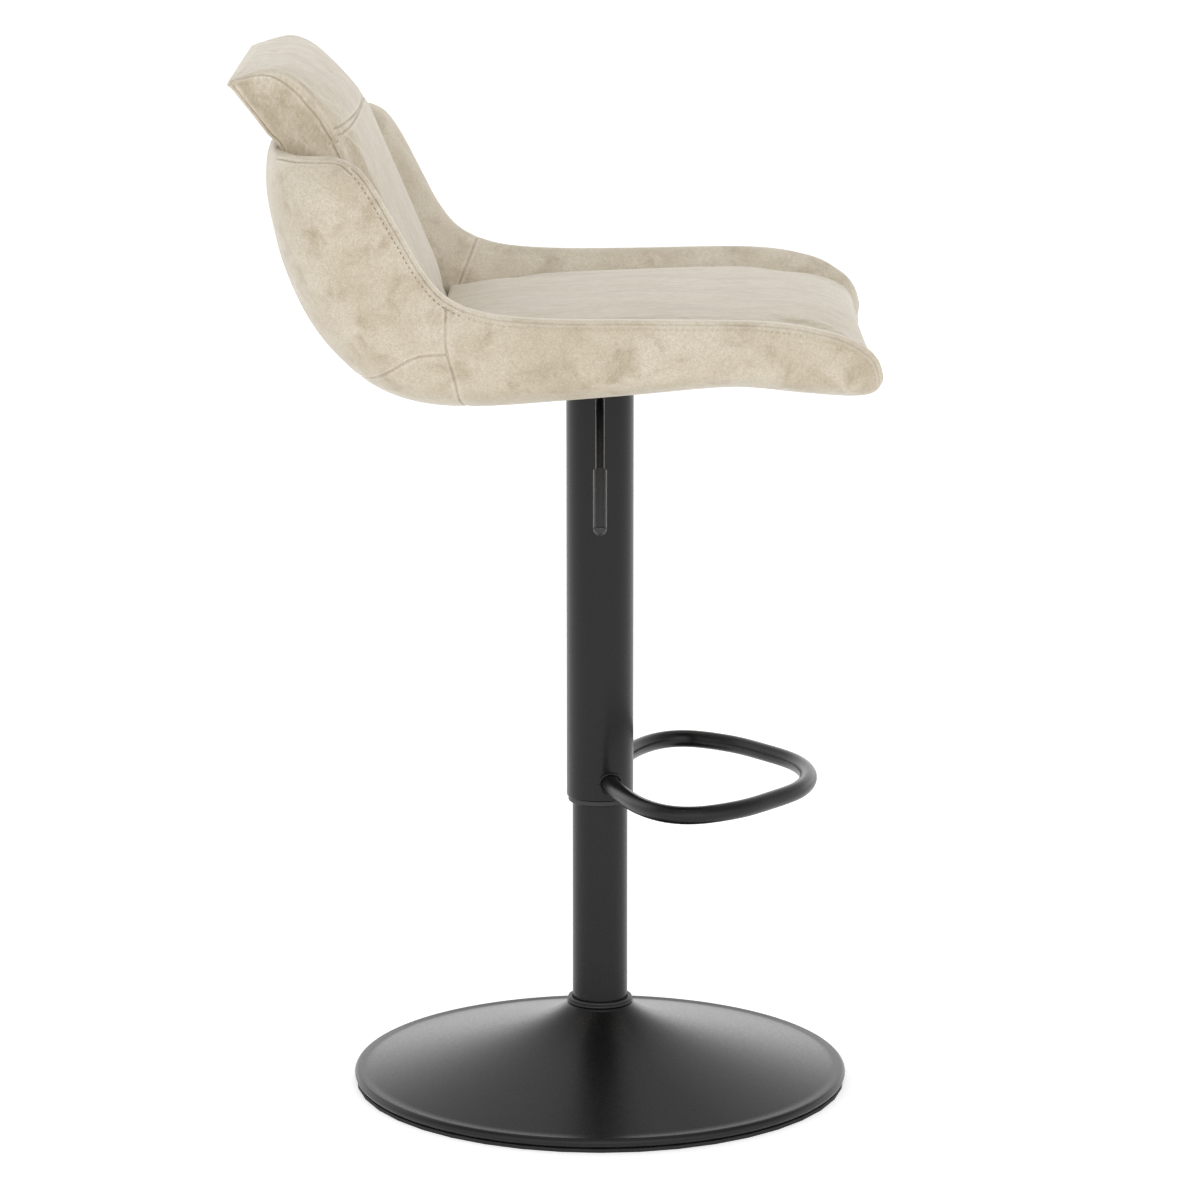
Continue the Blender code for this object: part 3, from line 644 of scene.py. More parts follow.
def leatherette(name, stretch, grain_stretch, streaks):
    """Distressed imitation leather: clouds and rubbed patches over a fine crackled grain, with a
    painted highlight along the crests and beside the seams.
    """
    look = Look(
        name, Roughness=0.6, Specular_IOR_Level=0.45, Sheen_Weight=0.22, Sheen_Roughness=0.35
    )
    drawn = look.stretched(*stretch)
    clouds = look.ramp(look.noise(13.0, 5.0, 0.62, 0.3, drawn), 0.36, 0.64)
    patches = look.ramp(look.noise(30.0, 6.0, 0.66, 0.4, drawn), 0.46, 0.72)
    along = look.stretched(*grain_stretch)
    mottle = look.ramp(look.noise(130.0, 4.0, 0.60, 0.5, along), 0.36, 0.66)
    worms = look.noise(480.0, 2.0, 0.55, 1.6, along)
    speckle = look.noise(760.0, 2.0, 0.6)
    tone = look.mix(clouds, LIGHT, MIDDLE)
    tone = look.mix(look.math("MULTIPLY", patches, 0.95), tone, DARK)
    tone = look.mix(look.math("MULTIPLY", mottle, streaks), tone, LIGHT)
    tone = look.mix(look.ramp(worms, 0.38, 0.62, 0.0, 0.46), tone, DARK)
    tone = look.mix(look.ramp(speckle, 0.40, 0.68, 0.0, 0.32), tone, LIGHT)
    # A painted highlight, stored on the mesh along the crests and beside the seams, pales the
    # colour
    painted_highlight = look.node("ShaderNodeAttribute")
    painted_highlight.attribute_name = "painted_highlight"
    highlighted = look.math("MULTIPLY", painted_highlight.outputs["Fac"], HIGHLIGHT_SHARE)
    look.color(look.mix(highlighted, tone, HIGHLIGHT_TONE))
    look.roughness(look.ramp(patches, 0.0, 1.0, 0.56, 0.42))
    cells = look.node("ShaderNodeTexVoronoi", Scale=560.0)
    cells.feature = "DISTANCE_TO_EDGE"
    look.link(look.place, cells.inputs["Vector"])
    grain = look.ramp(cells.outputs["Distance"], 0.0, 0.35)
    wrinkle = look.noise(70.0, 5.0, 0.6, 0.6)
    look.bump([(wrinkle, 0.0011, 0.20), (grain, 0.00025, 0.35), (worms, 0.0004, 0.35)])
    return look.material


def powder_coat(name, tone, rough):
    """Matte powder coat: an even skin with a fine orange-peel surface."""
    look = Look(name, Specular_IOR_Level=0.30)
    drift = look.ramp(look.noise(9.0, 3.0), 0.3, 0.7)
    look.color(look.mix(drift, tuple(t * 0.9 for t in tone), tuple(t * 1.12 for t in tone)))
    peel = look.noise(1100.0, 2.0, 0.5)
    look.roughness(look.ramp(look.noise(420.0, 3.0), 0.3, 0.7, rough - 0.03, rough + 0.03))
    look.bump([(peel, 0.00012, 0.22)])
    return look.material


def metal(name, tone, rough, brushed):
    """Bare or plated steel, with fine machining marks along the turning."""
    look = Look(name, Metallic=1.0)
    marks = look.noise(180.0, 4.0, 0.6, 0.0, look.stretched(*brushed))
    stain = look.ramp(look.noise(30.0, 4.0), 0.35, 0.7)
    look.color(look.mix(stain, tone, tuple(t * 0.82 for t in tone)))
    look.roughness(look.ramp(marks, 0.3, 0.7, rough - 0.08, rough + 0.10))
    look.bump([(marks, 0.00005, 0.3)])
    return look.material


def moulded(name, tone, rough, grain):
    """Moulded plastic or rubber with a fine spark-eroded texture."""
    look = Look(name)
    texture = look.noise(grain, 3.0, 0.6)
    drift = look.ramp(look.noise(25.0, 3.0), 0.3, 0.7)
    look.color(look.mix(drift, tone, tuple(t * 1.3 for t in tone)))
    look.roughness(look.ramp(texture, 0.3, 0.7, rough - 0.06, rough + 0.06))
    look.bump([(texture, 0.0002, 0.35)])
    return look.material


def plywood(name):
    """Birch plywood with its grain along Y and fine dark pores."""
    look = Look(name, Roughness=0.7)
    grain = look.noise(40.0, 6.0, 0.65, 0.8, look.stretched(8.0, 0.6, 30.0))
    pores = look.noise(600.0, 2.0, 0.5, 0.0, look.stretched(3.0, 0.15, 3.0))
    wood = look.mix(look.ramp(grain, 0.35, 0.65), (0.60, 0.42, 0.24), (0.42, 0.27, 0.13))
    look.color(look.mix(look.ramp(pores, 0.55, 0.75, 0.0, 0.5), wood, (0.28, 0.17, 0.08)))
    look.bump([(grain, 0.0003, 0.3)])
    return look.material


def felt(name):
    """Thin non-woven dust-cover cloth with its pressed dots and loose fibres."""
    look = Look(name, Roughness=0.95, Sheen_Weight=0.25)
    fibres = look.noise(700.0, 6.0, 0.75, 1.5)
    dots = look.node("ShaderNodeTexVoronoi", Scale=420.0, Randomness=0.15)
    look.link(look.place, dots.inputs["Vector"])
    pressed = look.ramp(dots.outputs["Distance"], 0.1, 0.3)
    look.color(look.mix(look.ramp(fibres, 0.3, 0.7), (0.010, 0.010, 0.011), (0.030, 0.030, 0.032)))
    look.bump([(pressed, 0.0003, 0.5), (fibres, 0.0003, 0.4)])
    return look.material


LIGHT = (0.600, 0.545, 0.445)
MIDDLE = (0.505, 0.440, 0.332)
DARK = (0.345, 0.276, 0.182)
# The colour of the painted highlight along crests and seam lips, and how far it pales the skin at
# most
HIGHLIGHT_TONE = (0.830, 0.780, 0.690)
HIGHLIGHT_SHARE = 0.58
shell_skin = leatherette("leatherette_shell", (1, 1, 1), (1, 1, 1), 0.20)
seat_skin = leatherette("leatherette_seat", (1, 0.35, 1), (0.8, 0.14, 0.8), 0.62)
back_skin = leatherette("leatherette_back", (1, 0.6, 0.4), (0.9, 0.4, 0.2), 0.55)
# The wings' thread: tan, darkened as painted shade of the holes it is sewn through
shaded_thread = moulded("shaded_thread", (0.22, 0.17, 0.11), 0.8, 900.0)
pale_thread = moulded("pale_thread", (0.42, 0.355, 0.25), 0.8, 900.0)
black_coat = powder_coat("black_powder_coat", (0.0065, 0.0065, 0.0067), 0.30)
black_plastic = moulded("black_plastic", (0.014, 0.014, 0.015), 0.45, 700.0)
black_rubber = moulded("black_rubber", (0.010, 0.010, 0.010), 0.8, 500.0)
bare_steel = metal("bare_steel", (0.55, 0.55, 0.56), 0.36, (1.0, 1.0, 12.0))
zinc_steel = metal("zinc_steel", (0.62, 0.60, 0.52), 0.34, (3.0, 3.0, 3.0))
birch = plywood("birch_plywood")
dust_felt = felt("dust_felt")


# ---------------- bucket


def rim_section(height, half_width, inner, upright, wall):
    """Half a slice of the bucket: underside, outer side, rolled rim, sloping lining, floor.
    With it comes the place of its crest in the list."""
    scale = min(1.0, height / 0.060)
    crest = 0.011 * scale
    turn = math.exp(-(((upright - TURN_AT) / TURN_SPREAD) ** 2))
    rise = min(upright * 3, 1.0)
    drop = min(0.018 + 0.014 * rise + TURN_DROP * turn, (0.30 + 0.15 * rise + 0.15 * turn) * height)
    wall_top = height - 0.016 * scale
    outer = corner_curve(half_width, 0, wall_top, 4.6 - 1.5 * upright, 44)
    top = half_width - crest
    slope = top - inner
    outside = [
        (half_width, wall_top),
        (half_width - 0.0012 * scale, height - 0.0075 * scale),
        (half_width - 0.0048 * scale, height - 0.0018 * scale),
    ]
    inside = [
        (top, height),
        (top - 0.30 * slope, height - 0.16 * drop),
        (top - 0.62 * slope, height - 0.52 * drop),
        (inner + 0.10 * slope, height - 0.93 * drop),
        (inner, height - 1.20 * drop),
    ]
    rim = [tuple(p) for p in smooth_curve(outside + inside, RIM_STEPS)]
    lining = corner_curve(inner, wall, height - 1.20 * drop, 10, 12)[::-1]
    return outer[:-1] + rim[:-1] + lining, len(outer) - 1 + len(outside) * RIM_STEPS


def bucket_ribs():
    """The bucket's ribs, from the seat's front edge to the top of the back, and their crests."""
    ribs = []
    crests = []
    for under_y, under_z, wall, rim_y, rim_z, half_width in smooth_curve(STATIONS, RIBS_PER_SPAN):
        foot = Vector((under_y, under_z))
        head = Vector((rim_y, rim_z))
        upright = clamped((rim_z - SEAT_RIM_Z) / (WING_TOP_Z - SEAT_RIM_Z))
        upright = upright if rim_y > 0 else 0.0
        blend = min(upright * WING_BLEND, 1.0)
        inner = (half_width - BOLSTER_WIDTH) * (1 - blend) + WING_INNER * blend
        height = (head - foot).length
        section, crest = rim_section(height, half_width, inner, upright, wall)
        ribs.append((foot, head, section))
        crests.append(crest)
    return ribs, crests


def sink_wing_tops(bm):
    """Lets the tops of the wings fall away from their crests towards the head roll."""
    for vertex in bm.verts:
        inward = clamped((SINK_X[0] - abs(vertex.co.x)) / SINK_X[1])
        forward = clamped((SINK_Y[0] - vertex.co.y) / SINK_Y[1])
        high = clamped((vertex.co.z - SINK_Z[0]) / SINK_Z[1])
        vertex.co.z -= TOP_SINK * inward * forward * high


def outside_crest(ring, crest, distance):
    """The point of a ring at a distance outside its crest."""
    index = crest
    left = distance
    while left > 0:
        here, there = ring[index].co, ring[index - 1].co
        step = (here - there).length
        if step >= left:
            return here.lerp(there, left / step)
        left -= step
        index -= 1
    return ring[index].co.copy()


def rim_lines(crested, distance, first, last):
    """The lines at a distance outside the rim's crest, on the right and on the left."""
    lines = []
    for side in (-1, 1):
        line = []
        for ring, crest in crested[first:last]:
            point = outside_crest(ring, crest, distance)
            line.append((side * abs(point.x), point.y, point.z))
        lines.append(dense(line))
    return lines


def shell_seams(surface, wing_threads):
    """The seams across the shell, and the one over each wing's top from where its threads end."""
    seams = []
    for side in (-1, 1):
        for points in (OUTER_SEAM, REAR_SEAM, LINING_SEAM):
            curve = smooth_curve([(side * x, y, z) for x, y, z in points], SEAM_STEPS)
            seams.append(dense(on_surface(surface, curve)))
    for side, threads in zip((-1, 1), wing_threads):
        points = [threads[-1]]
        for y, z in WING_TOP_SEAM:
            points.append(surface.ray_cast(Vector((side, y, z)), Vector((-side, 0, 0)))[0][:])
        seams.append(dense(on_surface(surface, smooth_curve(points, SEAM_STEPS))))
    return seams


def make_bucket():
    """The upholstered shell, its pressed seams, and the rows of thread along its rim."""
    ribs, crest_index = bucket_ribs()
    bm, rings = ribbed_form(ribs)
    bow_front(bm)
    sink_wing_tops(bm)
    crested = list(zip(rings, crest_index))
    wing = WING_STATION * RIBS_PER_SPAN
    top = WING_TOP_STATION * RIBS_PER_SPAN
    seat_seams = rim_lines(crested, RIM_SEAM, SEAT_SEAM_START, wing + 1)
    wing_seams = rim_lines(crested, RIM_SEAM, wing, top + SEAM_OVERRUN)
    seat_threads = rim_lines(crested, RIM_STITCH, SEAT_THREAD_START, wing)
    wing_threads = rim_lines(crested, RIM_STITCH, wing, top + THREAD_OVERRUN)
    wing_seams += shell_seams(BVHTree.FromBMesh(bm), wing_threads)
    # Lines just outside the crests, along which a highlight is painted onto the skin
    highlight_crests = rim_lines(crested, CREST_OFFSET, CREST_START, top + CREST_OVERRUN)
    refine_near(bm, seat_seams + wing_seams + highlight_crests, SHELL_REACHES)
    # Paints the highlight along those lines and on the lips beside the seams
    mark_highlights(bm, seat_seams + wing_seams, highlight_crests, SHELL_CREST_HIGHLIGHT)
    press_seams(bm, wing_seams)
    press_seams(bm, seat_seams, depth=0.0008, width=0.0008, pull=0.0006, pull_width=0.0030)
    skin = BVHTree.FromBMesh(bm)
    shell = add_piece("bucket_cover", bm, shell_skin, "carriage")
    cut_opening(shell)
    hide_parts("bucket_shell")
    # The wings' stitching takes the thread darkened with painted shade
    rows = [("wing_stitching", wing_threads, shaded_thread), ("seat_stitching", seat_threads, pale_thread)]
    for name, lines, material in rows:
        add_piece(name, stitches(lines, skin), material, "carriage")


def cut_opening(shell):
    """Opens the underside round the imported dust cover."""
    low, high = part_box("dust_cover")
    bm = bmesh.new()
    bmesh.ops.create_cube(bm, size=1.0)
    middle = (low + high) / 2
    size = high - low
    bm.transform(
        Matrix.Translation((middle.x, middle.y, 0.665))
        @ Matrix.Diagonal((size.x + 0.004, size.y + 0.005, 0.050, 1))
    )
    edges = [e for e in bm.edges if abs(e.verts[0].co.z - e.verts[1].co.z) > 0.01]
    bmesh.ops.bevel(bm, geom=edges, offset=0.012, segments=6, affect="EDGES", profile=0.5)
    cutter = new_object("opening", new_mesh("opening", bm))
    boolean = shell.modifiers.new("opening", "BOOLEAN")
    boolean.operation = "DIFFERENCE"
    boolean.solver = "EXACT"
    boolean.object = cutter
    apply_modifiers(shell)
    bpy.data.objects.remove(cutter)


def apply_modifiers(piece):
    """Puts the evaluated mesh in place of the piece's own, and drops the modifiers."""
    bpy.context.view_layer.update()
    graph = bpy.context.evaluated_depsgraph_get()
    mesh = bpy.data.meshes.new_from_object(piece.evaluated_get(graph), depsgraph=graph)
    piece.modifiers.clear()
    piece.data = mesh
    mesh.shade_smooth()


# ---------------- cushions


def pad_section(depth, half_width, crown, front_roll, rear_roll):
    """Half a slice of a cushion: the rear from its middle, the side, then the crowned face."""
    front_roll = min(front_roll, 0.42 * depth)
    rear_roll = min(rear_roll, 0.42 * depth)
    rear = [(half_width * t / 10, 0) for t in range(10)]
    points = [(x, b) for x, b in rear if x < half_width - rear_roll]
    points += arc((half_width - rear_roll, rear_roll), rear_roll, -90, 0, 4)
    points += [
        (half_width, rear_roll + (depth - rear_roll - front_roll) * t / 10) for t in range(1, 10)
    ]
    points += arc((half_width - front_roll, depth - front_roll), front_roll, 0, 90, 8)
    face = [(half_width - front_roll) * (1 - t / 30) for t in range(1, 31)]
    points += [(x, depth) for x in face]
    crowned = []
    for x, b in points:
        near_face = clamped((b - rear_roll) / max(depth - rear_roll, 1e-6))
        bulge = crown * max(1 - (x / half_width) ** 2, 0)
        crowned.append((x, b + bulge * near_face))
    return crowned


def cushion_form(slices, crown, front_roll):
    """A cushion lofted through slices: its rear and its face as (y, z), and its half-width."""
    ribs = []
    for rear, face, half_width in slices:
        depth = (Vector(face) - Vector(rear)).length
        section = pad_section(depth, half_width, crown, front_roll, HIDDEN_ROLL)
        ribs.append((rear, face, section))
    return ribbed_form(ribs)[0]


def inflate(piece, pinned):
    """Lets the cover swell under pressure as cloth, held at the pinned points."""
    mesh = piece.data
    start = [v.co.copy() for v in mesh.vertices]
    group = piece.vertex_groups.new(name="pinned")
    group.add([i for i, p in enumerate(start) if pinned(p)], 1.0, "REPLACE")
    cloth = piece.modifiers.new("cloth", "CLOTH")
    settings = cloth.settings
    settings.quality = 5
    settings.mass = 0.3
    settings.tension_stiffness = 20
    settings.compression_stiffness = 20
    settings.shear_stiffness = 8
    settings.bending_stiffness = 0.6
    settings.use_pressure = True
    settings.uniform_pressure_force = PRESSURE
    settings.vertex_group_mass = "pinned"
    settings.effector_weights.gravity = 0
    cloth.collision_settings.use_collision = False
    cloth.point_cache.frame_start = 1
    cloth.point_cache.frame_end = FRAMES
    scene = bpy.context.scene
    for number in range(1, FRAMES + 1):
        scene.frame_set(number)
    graph = bpy.context.evaluated_depsgraph_get()
    swollen = piece.evaluated_get(graph).data
    for vertex, before, after in zip(mesh.vertices, start, swollen.vertices):
        move = after.co - before
        if move.length > SWELL_CAP:
            move *= SWELL_CAP / move.length
        vertex.co = before + move
    piece.modifiers.clear()
    piece.vertex_groups.clear()
    scene.frame_set(1)


def subdivide(piece):
    """One smooth subdivision of a piece's mesh."""
    step = piece.modifiers.new("smooth", "SUBSURF")
    step.levels = 1
    step.render_levels = 1
    apply_modifiers(piece)


def sew(piece, lines, crests, **sizes):
    """Presses seams into a finished cushion, and paints a highlight along its crests and beside its
    seams.
    """
    bm = bmesh.new()
    bm.from_mesh(piece.data)
    surface = BVHTree.FromBMesh(bm)
    seams = [dense(on_surface(surface, line)) for line in lines]
    # The cushion's crests, along which a highlight is painted
    highlighted = [dense(on_surface(surface, line)) for line in crests]
    refine_near(bm, seams, PAD_REACHES)
    mark_highlights(bm, seams, highlighted, PAD_CREST_HIGHLIGHT)
    press_seams(bm, seams, **sizes)
    bm.to_mesh(piece.data)
    bm.free()
    piece.data.shade_smooth()


def face_plane(z):
    """How far back the back cushion's face is at a height."""
    return FACE_Y + FACE_SLOPE * (z - FACE_Z)


def held_below(point):
    """True where the seat cushion's cover is stapled to its board."""
    return point.z < BOARD_TOP and point.y > FRONT_FREE


def held_behind(point):
    """True where the back cushion's cover is stapled down: inside the shell, and behind."""
    inside = point.z < SHELL_TOP and point.y > face_plane(point.z) + TUCK
    return inside or point.y > REAR_Y + REAR_SLOPE * (point.z - REAR_Z)


def make_seat_cushion():
    """The seat cushion: crowned, with a waterfall front, tucked between the bolsters."""
    slices = []
    for y, low, high, half_width in smooth_curve(SEAT_SLICES, RIBS_PER_SPAN):
        top_y = face_plane(high) - SEAT_GAP if y > SEAT_BACK_START else y
        slices.append(((y, low), (top_y, high), half_width))
    bm = cushion_form(slices, SEAT_CROWN, SEAT_ROLL)
    bow_front(bm)
    piece = add_piece("seat_cushion", bm, seat_skin, "carriage")
    inflate(piece, held_below)
    subdivide(piece)
    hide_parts("seat_pad")


def cross_seam(front_y, bow, height, droop):
    """A seam across the back cushion's face, which bows back and droops towards its ends."""
    line = []
    for step in range(-20, 21):
        t = step / 20
        line.append((t * CROSS_SEAM_REACH, front_y + bow * t**2, height - droop * abs(t) ** 1.5))
    return line


def back_cushion_lines(slices):
    """The back cushion's seams, and the crests of its sides."""
    seams = []
    crests = []
    for side in (-1, 1):
        gusset = []
        rear_edge = []
        front_edge = []
        for rear, face, half_width in slices[GUSSET_RIBS]:
            rear, face = Vector(rear), Vector(face)
            back = (rear - face).normalized()
            seam = face + back * GUSSET_SEAM
            gusset.append((side * half_width, seam.x, seam.y))
            edge = rear - back * 0.003
            rear_edge.append((side * (half_width + 0.002), edge.x, edge.y))
            front_edge.append((side * half_width, face.x, face.y))
        seams += [gusset, rear_edge]
        crests.append(front_edge)
    seams.append(cross_seam(0.2150, 0.008, 0.8930, 0.000))
    seams.append(cross_seam(0.2130, 0.006, 0.8925, 0.005))
    for side in (-1, 1):
        seams.append([(side * 0.154, 0.2209, 0.8811), (side * 0.156, 0.2311, 0.8779)])
    return seams, crests


def make_back_cushion():
    """The back cushion and head roll: a barrel front, side gussets and sewn cross seams."""
    slices = []
    for front_y, front_z, rear_y, rear_z, half_width in smooth_curve(BACK_SLICES, RIBS_PER_SPAN):
        slices.append(((rear_y, rear_z), (front_y, front_z), half_width))
    bm = cushion_form(slices, BACK_CROWN, BACK_ROLL)
    piece = add_piece("back_cushion", bm, back_skin, "carriage")
    inflate(piece, held_behind)
    subdivide(piece)
    seams, crests = back_cushion_lines(slices)
    sew(piece, seams, crests, depth=0.0013, width=0.0008, pull=0.0004, pull_width=0.0030)
    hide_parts("back_pad", "head_pad")


# ---------------- metalwork


def dish_height(radius):
    """The height of the base dish's outside: a straight slope with a flare at its neck."""
    flare = NECK_FLARE * math.exp(-(radius - NECK_RADIUS) / FLARE_LENGTH)
    return DISH_RIM_HEIGHT + DISH_SLOPE * (DISH_RADIUS - radius) + flare


def make_base_dish():
    """The pressed dish: a flared neck, a straight slope and a rolled rim."""
    slope_run = DISH_RADIUS - 0.0025 - NECK_RADIUS
    upper_radii = [NECK_RADIUS + slope_run * (k / 60) ** 1.8 for k in range(60)]
    top = dish_height(NECK_RADIUS) + 0.002
    profile = [(POLE_BORE, top), (NECK_RADIUS - 0.0012, top), (NECK_RADIUS - 0.0004, top - 0.0006)]
    profile += [(r, dish_height(r)) for r in upper_radii]
    profile += arc((DISH_RADIUS - DISH_ROLL, DISH_RIM_HEIGHT - 0.001), DISH_ROLL, 70, -90, 10)
    inner = DISH_RADIUS - 2 * DISH_ROLL + 0.001
    profile += [(inner, DISH_RIM_HEIGHT - DISH_ROLL - 0.001)]
    for radius in (inner, 0.200, 0.160, 0.130, 0.100, 0.080, 0.065, 0.055):
        profile.append((radius, dish_height(radius) - DISH_SHEET))
    profile += [(0.045, dish_height(0.045) - 0.003), (0.036, dish_height(0.036) - 0.004)]
    profile += [(POLE_BORE, 0.067)]
    bm = turned_shape(profile, TURN_STEPS)
    piece = add_piece("base_cover", bm, black_coat, "base", sharp=40)
    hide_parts("base_dish")


def make_collar():
    """The collar round the pole's foot, with a groove between its two beads."""
    low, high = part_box("pole_collar")
    radius = high.x
    bead = 0.0012
    profile = [(POLE_BORE, low.z), (radius - 0.0016, low.z)]
    profile += arc((radius - bead, low.z + bead), bead, -90, 30, 5)
    middle = (low.z + high.z) / 2
    profile += [(radius - bead, middle - 0.0003), (radius - bead, middle + 0.0003)]
    profile += arc((radius - 0.0020, high.z - bead), bead, -30, 90, 5)
    profile += [(POLE_BORE + bead, high.z), (POLE_BORE, high.z - 0.0006)]
    bm = turned_shape(profile, 96)
    piece = add_piece("pole_collar_ring", bm, black_plastic, "base", sharp=50)
    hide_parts("pole_collar")


def make_pole():
    """The standing tube, with its edges broken."""
    low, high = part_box("standing_pole")
    radius = high.x
    profile = [
        (radius - TUBE_WALL, low.z),
        (radius - 0.0004, low.z),
        (radius, low.z + 0.0004),
        (radius, high.z - 0.0006),
        (radius - 0.0006, high.z),
        (radius - TUBE_WALL, high.z),
    ]
    bm = turned_shape(profile, 96)
    piece = add_piece("inner_pole", bm, black_coat, "base", sharp=35)
    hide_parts("standing_pole")


def make_sleeve():
    """The outer tube, with a rounded lower edge."""
    low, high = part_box("sleeve")
    radius = high.x
    bore = radius - TUBE_WALL
    profile = [(bore, low.z + 0.0006), (bore + 0.0006, low.z)]
    profile += arc((radius - 0.0010, low.z + 0.0010), 0.0010, -90, 0, 5)
    profile += [(radius, high.z - 0.0006), (radius - 0.0006, high.z), (bore, high.z)]
    bm = turned_shape(profile, 112)
    piece = add_piece("outer_sleeve", bm, black_coat, "carriage", sharp=35)
    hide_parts("sleeve")


def make_glide_ring():
    """The plastic ring at the sleeve's lower end: a lip below, and a neck inside the sleeve."""
    low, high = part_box("glide_ring")
    outer = high.x
    neck = outer - 0.0010
    profile = [
        (POLE_BORE, low.z + 0.0004),
        (POLE_BORE + 0.0004, low.z),
        (outer - 0.0008, low.z),
        (outer, low.z + 0.0008),
        (outer, low.z + 0.0045),
        (neck, low.z + 0.0047),
        (neck, high.z),
        (POLE_BORE, high.z),
    ]
    bm = turned_shape(profile, 96)
    piece = add_piece("sleeve_end_ring", bm, black_plastic, "carriage", sharp=35)
    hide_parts("glide_ring")


def make_footrest():
    """The bent footrest tube, coped to the sleeve, with a weld bead round each joint."""
    low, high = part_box("footrest_loop")
    radius = (high.z - low.z) / 2
    height = (high.z + low.z) / 2
    plan = [
        (0.0270, -0.0083),
        (0.060, -0.0165),
        (0.108, -0.0345),
        (0.138, -0.058),
        (0.1435, -0.086),
        (0.124, -0.121),
        (0.094, -0.149),
        (0.050, -0.179),
    ]
    right = [(x, y, height) for x, y in plan]
    left = [(-x, y, z) for x, y, z in reversed(right)]
    path = smooth_curve([*right, (0, -0.189, height), *left], 10)
    tube = swept_tube(path, radius, 28)
    piece = add_piece("footrest_tube", tube, black_coat, "carriage", 35)
    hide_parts("footrest_loop")
    for side, name in ((1, "left"), (-1, "right")):
        bm = weld_bead(side, radius, height)
        add_piece(f"weld_bead_{name}", bm, black_coat, "carriage")


def weld_bead(side, radius, height):
    """A rippled bead where a tube of this radius meets the sleeve at a height."""
    sleeve_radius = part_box("sleeve")[1].x
    bead = []
    sizes = []
    for k in range(65):
        angle = math.tau * k / 64
        y = -0.0095 + (radius + 0.0010) * 1.04 * math.cos(angle)
        z = height + (radius + 0.0008) * math.sin(angle)
        x = math.sqrt(max(sleeve_radius**2 - y**2, 0)) + 0.0003
        ripple = 0.0002 * math.sin(18 * angle)
        bead.append((side * (x + ripple), y, z))
        sizes.append(0.0014 + 0.0002 * math.sin(24 * angle))
    return swept_tube(bead, sizes, 10)


def make_lever():
    """The lever's bent rod and its soft grip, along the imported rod's line."""
    pivot = Vector(LEVER_PIVOT)
    slope = math.radians(7)
    drop = math.radians(60)
    run = Vector((-math.cos(slope), 0, -math.sin(slope)))
    fall = Vector((-math.cos(drop), 0, -math.sin(drop)))
    elbow = run * 0.070
    bend = 0.018
    path = [Vector((0.041, 0, 0)), Vector((0.015, 0, 0)), Vector((0, 0, 0)), run * 0.030]
    for step in range(13):
        t = step / 12
        start = elbow - run * bend
        end = elbow + fall * bend
        path.append(start.lerp(elbow, t).lerp(elbow.lerp(end, t), t))
    grip_top = elbow + fall * 0.062
    path.append(grip_top + fall * 0.052)
    rod = swept_tube([pivot + p for p in path], 0.004, 20)
    piece = add_piece("lever_bar", rod, black_coat, "lever", 35)
    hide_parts("lever_rod")
    half_boss = [(0.0065, 0.0055), (0.0060, 0.006), (0.0028, 0.006)]
    outline = [(r, -h) for r, h in reversed(half_boss)] + half_boss
    across = Matrix.Translation(pivot) @ Matrix.Rotation(math.pi / 2, 4, "X")
    boss = turned_shape(outline, 40, across)
    add_piece("lever_boss", boss, black_coat, "lever", 35)
    radius = 0.006
    length = 0.060
    profile = [(0.0042, 0.0), (radius - 0.0009, 0.0), (radius - 0.0002, 0.0004), (radius, 0.0012)]
    profile += [(radius, length - 0.005)]
    profile += arc((0.0, length - 0.006), radius, 0, 90, 10)
    profile += [(0, length - 0.007), (0.0042, length - 0.007)]
    turn = fall.to_track_quat("Z", "Y").to_matrix().to_4x4()
    bm = turned_shape(profile, 40, Matrix.Translation(pivot + grip_top) @ turn)
    piece = add_piece("lever_sleeve_grip", bm, black_plastic, "lever", 40)
    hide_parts("lever_grip")


def dress_cad_nodes():
    """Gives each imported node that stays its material."""
    by_slot = {
        "black_steel": black_coat,
        "bare_steel": bare_steel,
        "zinc_steel": zinc_steel,
        "black_plastic": black_plastic,
        "black_rubber": black_rubber,
        "plywood": birch,
        "black_felt": dust_felt,
        "leatherette": shell_skin,
    }
    for part in frame["record"]["subparts"]:
        node = nodes[part["node"]]
        material = by_slot[part["material_slot"]]
        for slot in node.material_slots:
            slot.material = material


# ---------------- studio


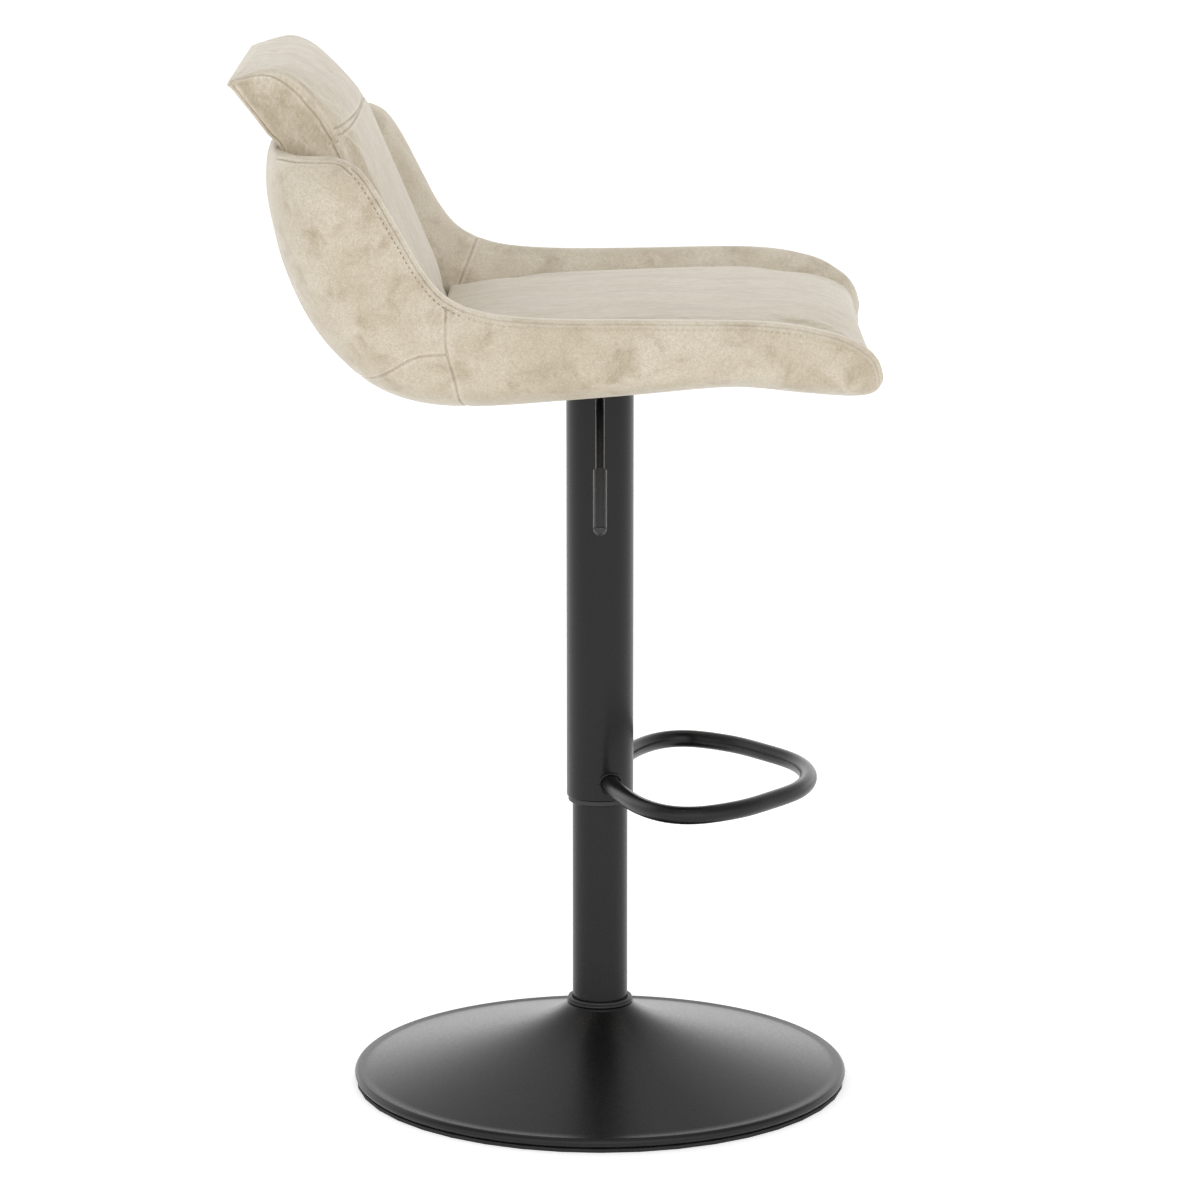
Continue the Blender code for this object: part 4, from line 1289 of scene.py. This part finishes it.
def make_floor():
    """A wide pale floor that stays white to the horizon."""
    bm = bmesh.new()
    bmesh.ops.create_grid(bm, x_segments=8, y_segments=8, size=30)
    floor = new_object("floor", new_mesh("floor", bm))
    look = Look(
        "floor",
        Roughness=0.9,
        Base_Color=(0.86, 0.86, 0.86, 1),
        Emission_Color=(1, 1, 1, 1),
        Emission_Strength=FLOOR_GLOW,
    )
    floor.data.materials.append(look.material)


def make_world():
    """A soft bright horizon, brighter at both sides of the stool and darker overhead."""
    world = bpy.data.worlds.new("studio")
    bpy.context.scene.world = world
    world.use_nodes = True
    background = world.node_tree.nodes["Background"]
    background.inputs["Color"].default_value = (1.0, 1.0, 1.0, 1)
    sky = Nodes(world.node_tree, "Generated")
    split = sky.node("ShaderNodeSeparateXYZ")
    sky.link(sky.place, split.inputs[0])
    fade = sky.ramp(split.outputs["Z"], *FADE)
    sideways = sky.math("ABSOLUTE", split.outputs["X"], 0.0)
    boost = sky.ramp(sideways, *BOOST)
    sky.link(sky.math("MULTIPLY", fade, boost), background.inputs["Strength"])


def make_lamps():
    """Large soft lights: from the camera's side, from above and from behind."""
    target = Vector((0, 0, 0.6))
    lamps = [
        ("key", (-3.4, -0.7, 2.2), 3.0, 11),
        ("top", (0.2, 0.0, 3.4), 2.4, 22),
        ("rear", (1.2, 2.6, 1.9), 1.8, 7),
    ]
    for name, place, size, power in lamps:
        data = bpy.data.lights.new(name, "AREA")
        data.shape = "SQUARE"
        data.size = size
        data.energy = power
        lamp = new_object(name, data)
        lamp.location = place
        lamp.rotation_euler = (target - Vector(place)).to_track_quat("-Z", "Y").to_euler()


def make_camera():
    """Looks from the stool's right-hand side, from above, through a long lens."""
    data = bpy.data.cameras.new("camera")
    data.sensor_width = 36
    data.lens = LENS
    data.clip_end = 100
    camera = new_object("camera", data)
    tilt = math.radians(CAMERA_TILT)
    camera.location = CAMERA_PLACE
    camera.rotation_euler = (math.pi / 2 - tilt, 0, -math.pi / 2)
    bpy.context.scene.camera = camera
    bpy.context.scene.view_settings.view_transform = "Standard"


make_camera()
make_floor()
make_world()
make_lamps()
dress_cad_nodes()
make_bucket()
make_seat_cushion()
make_back_cushion()
make_base_dish()
make_collar()
make_pole()
make_sleeve()
make_glide_ring()
make_footrest()
make_lever()
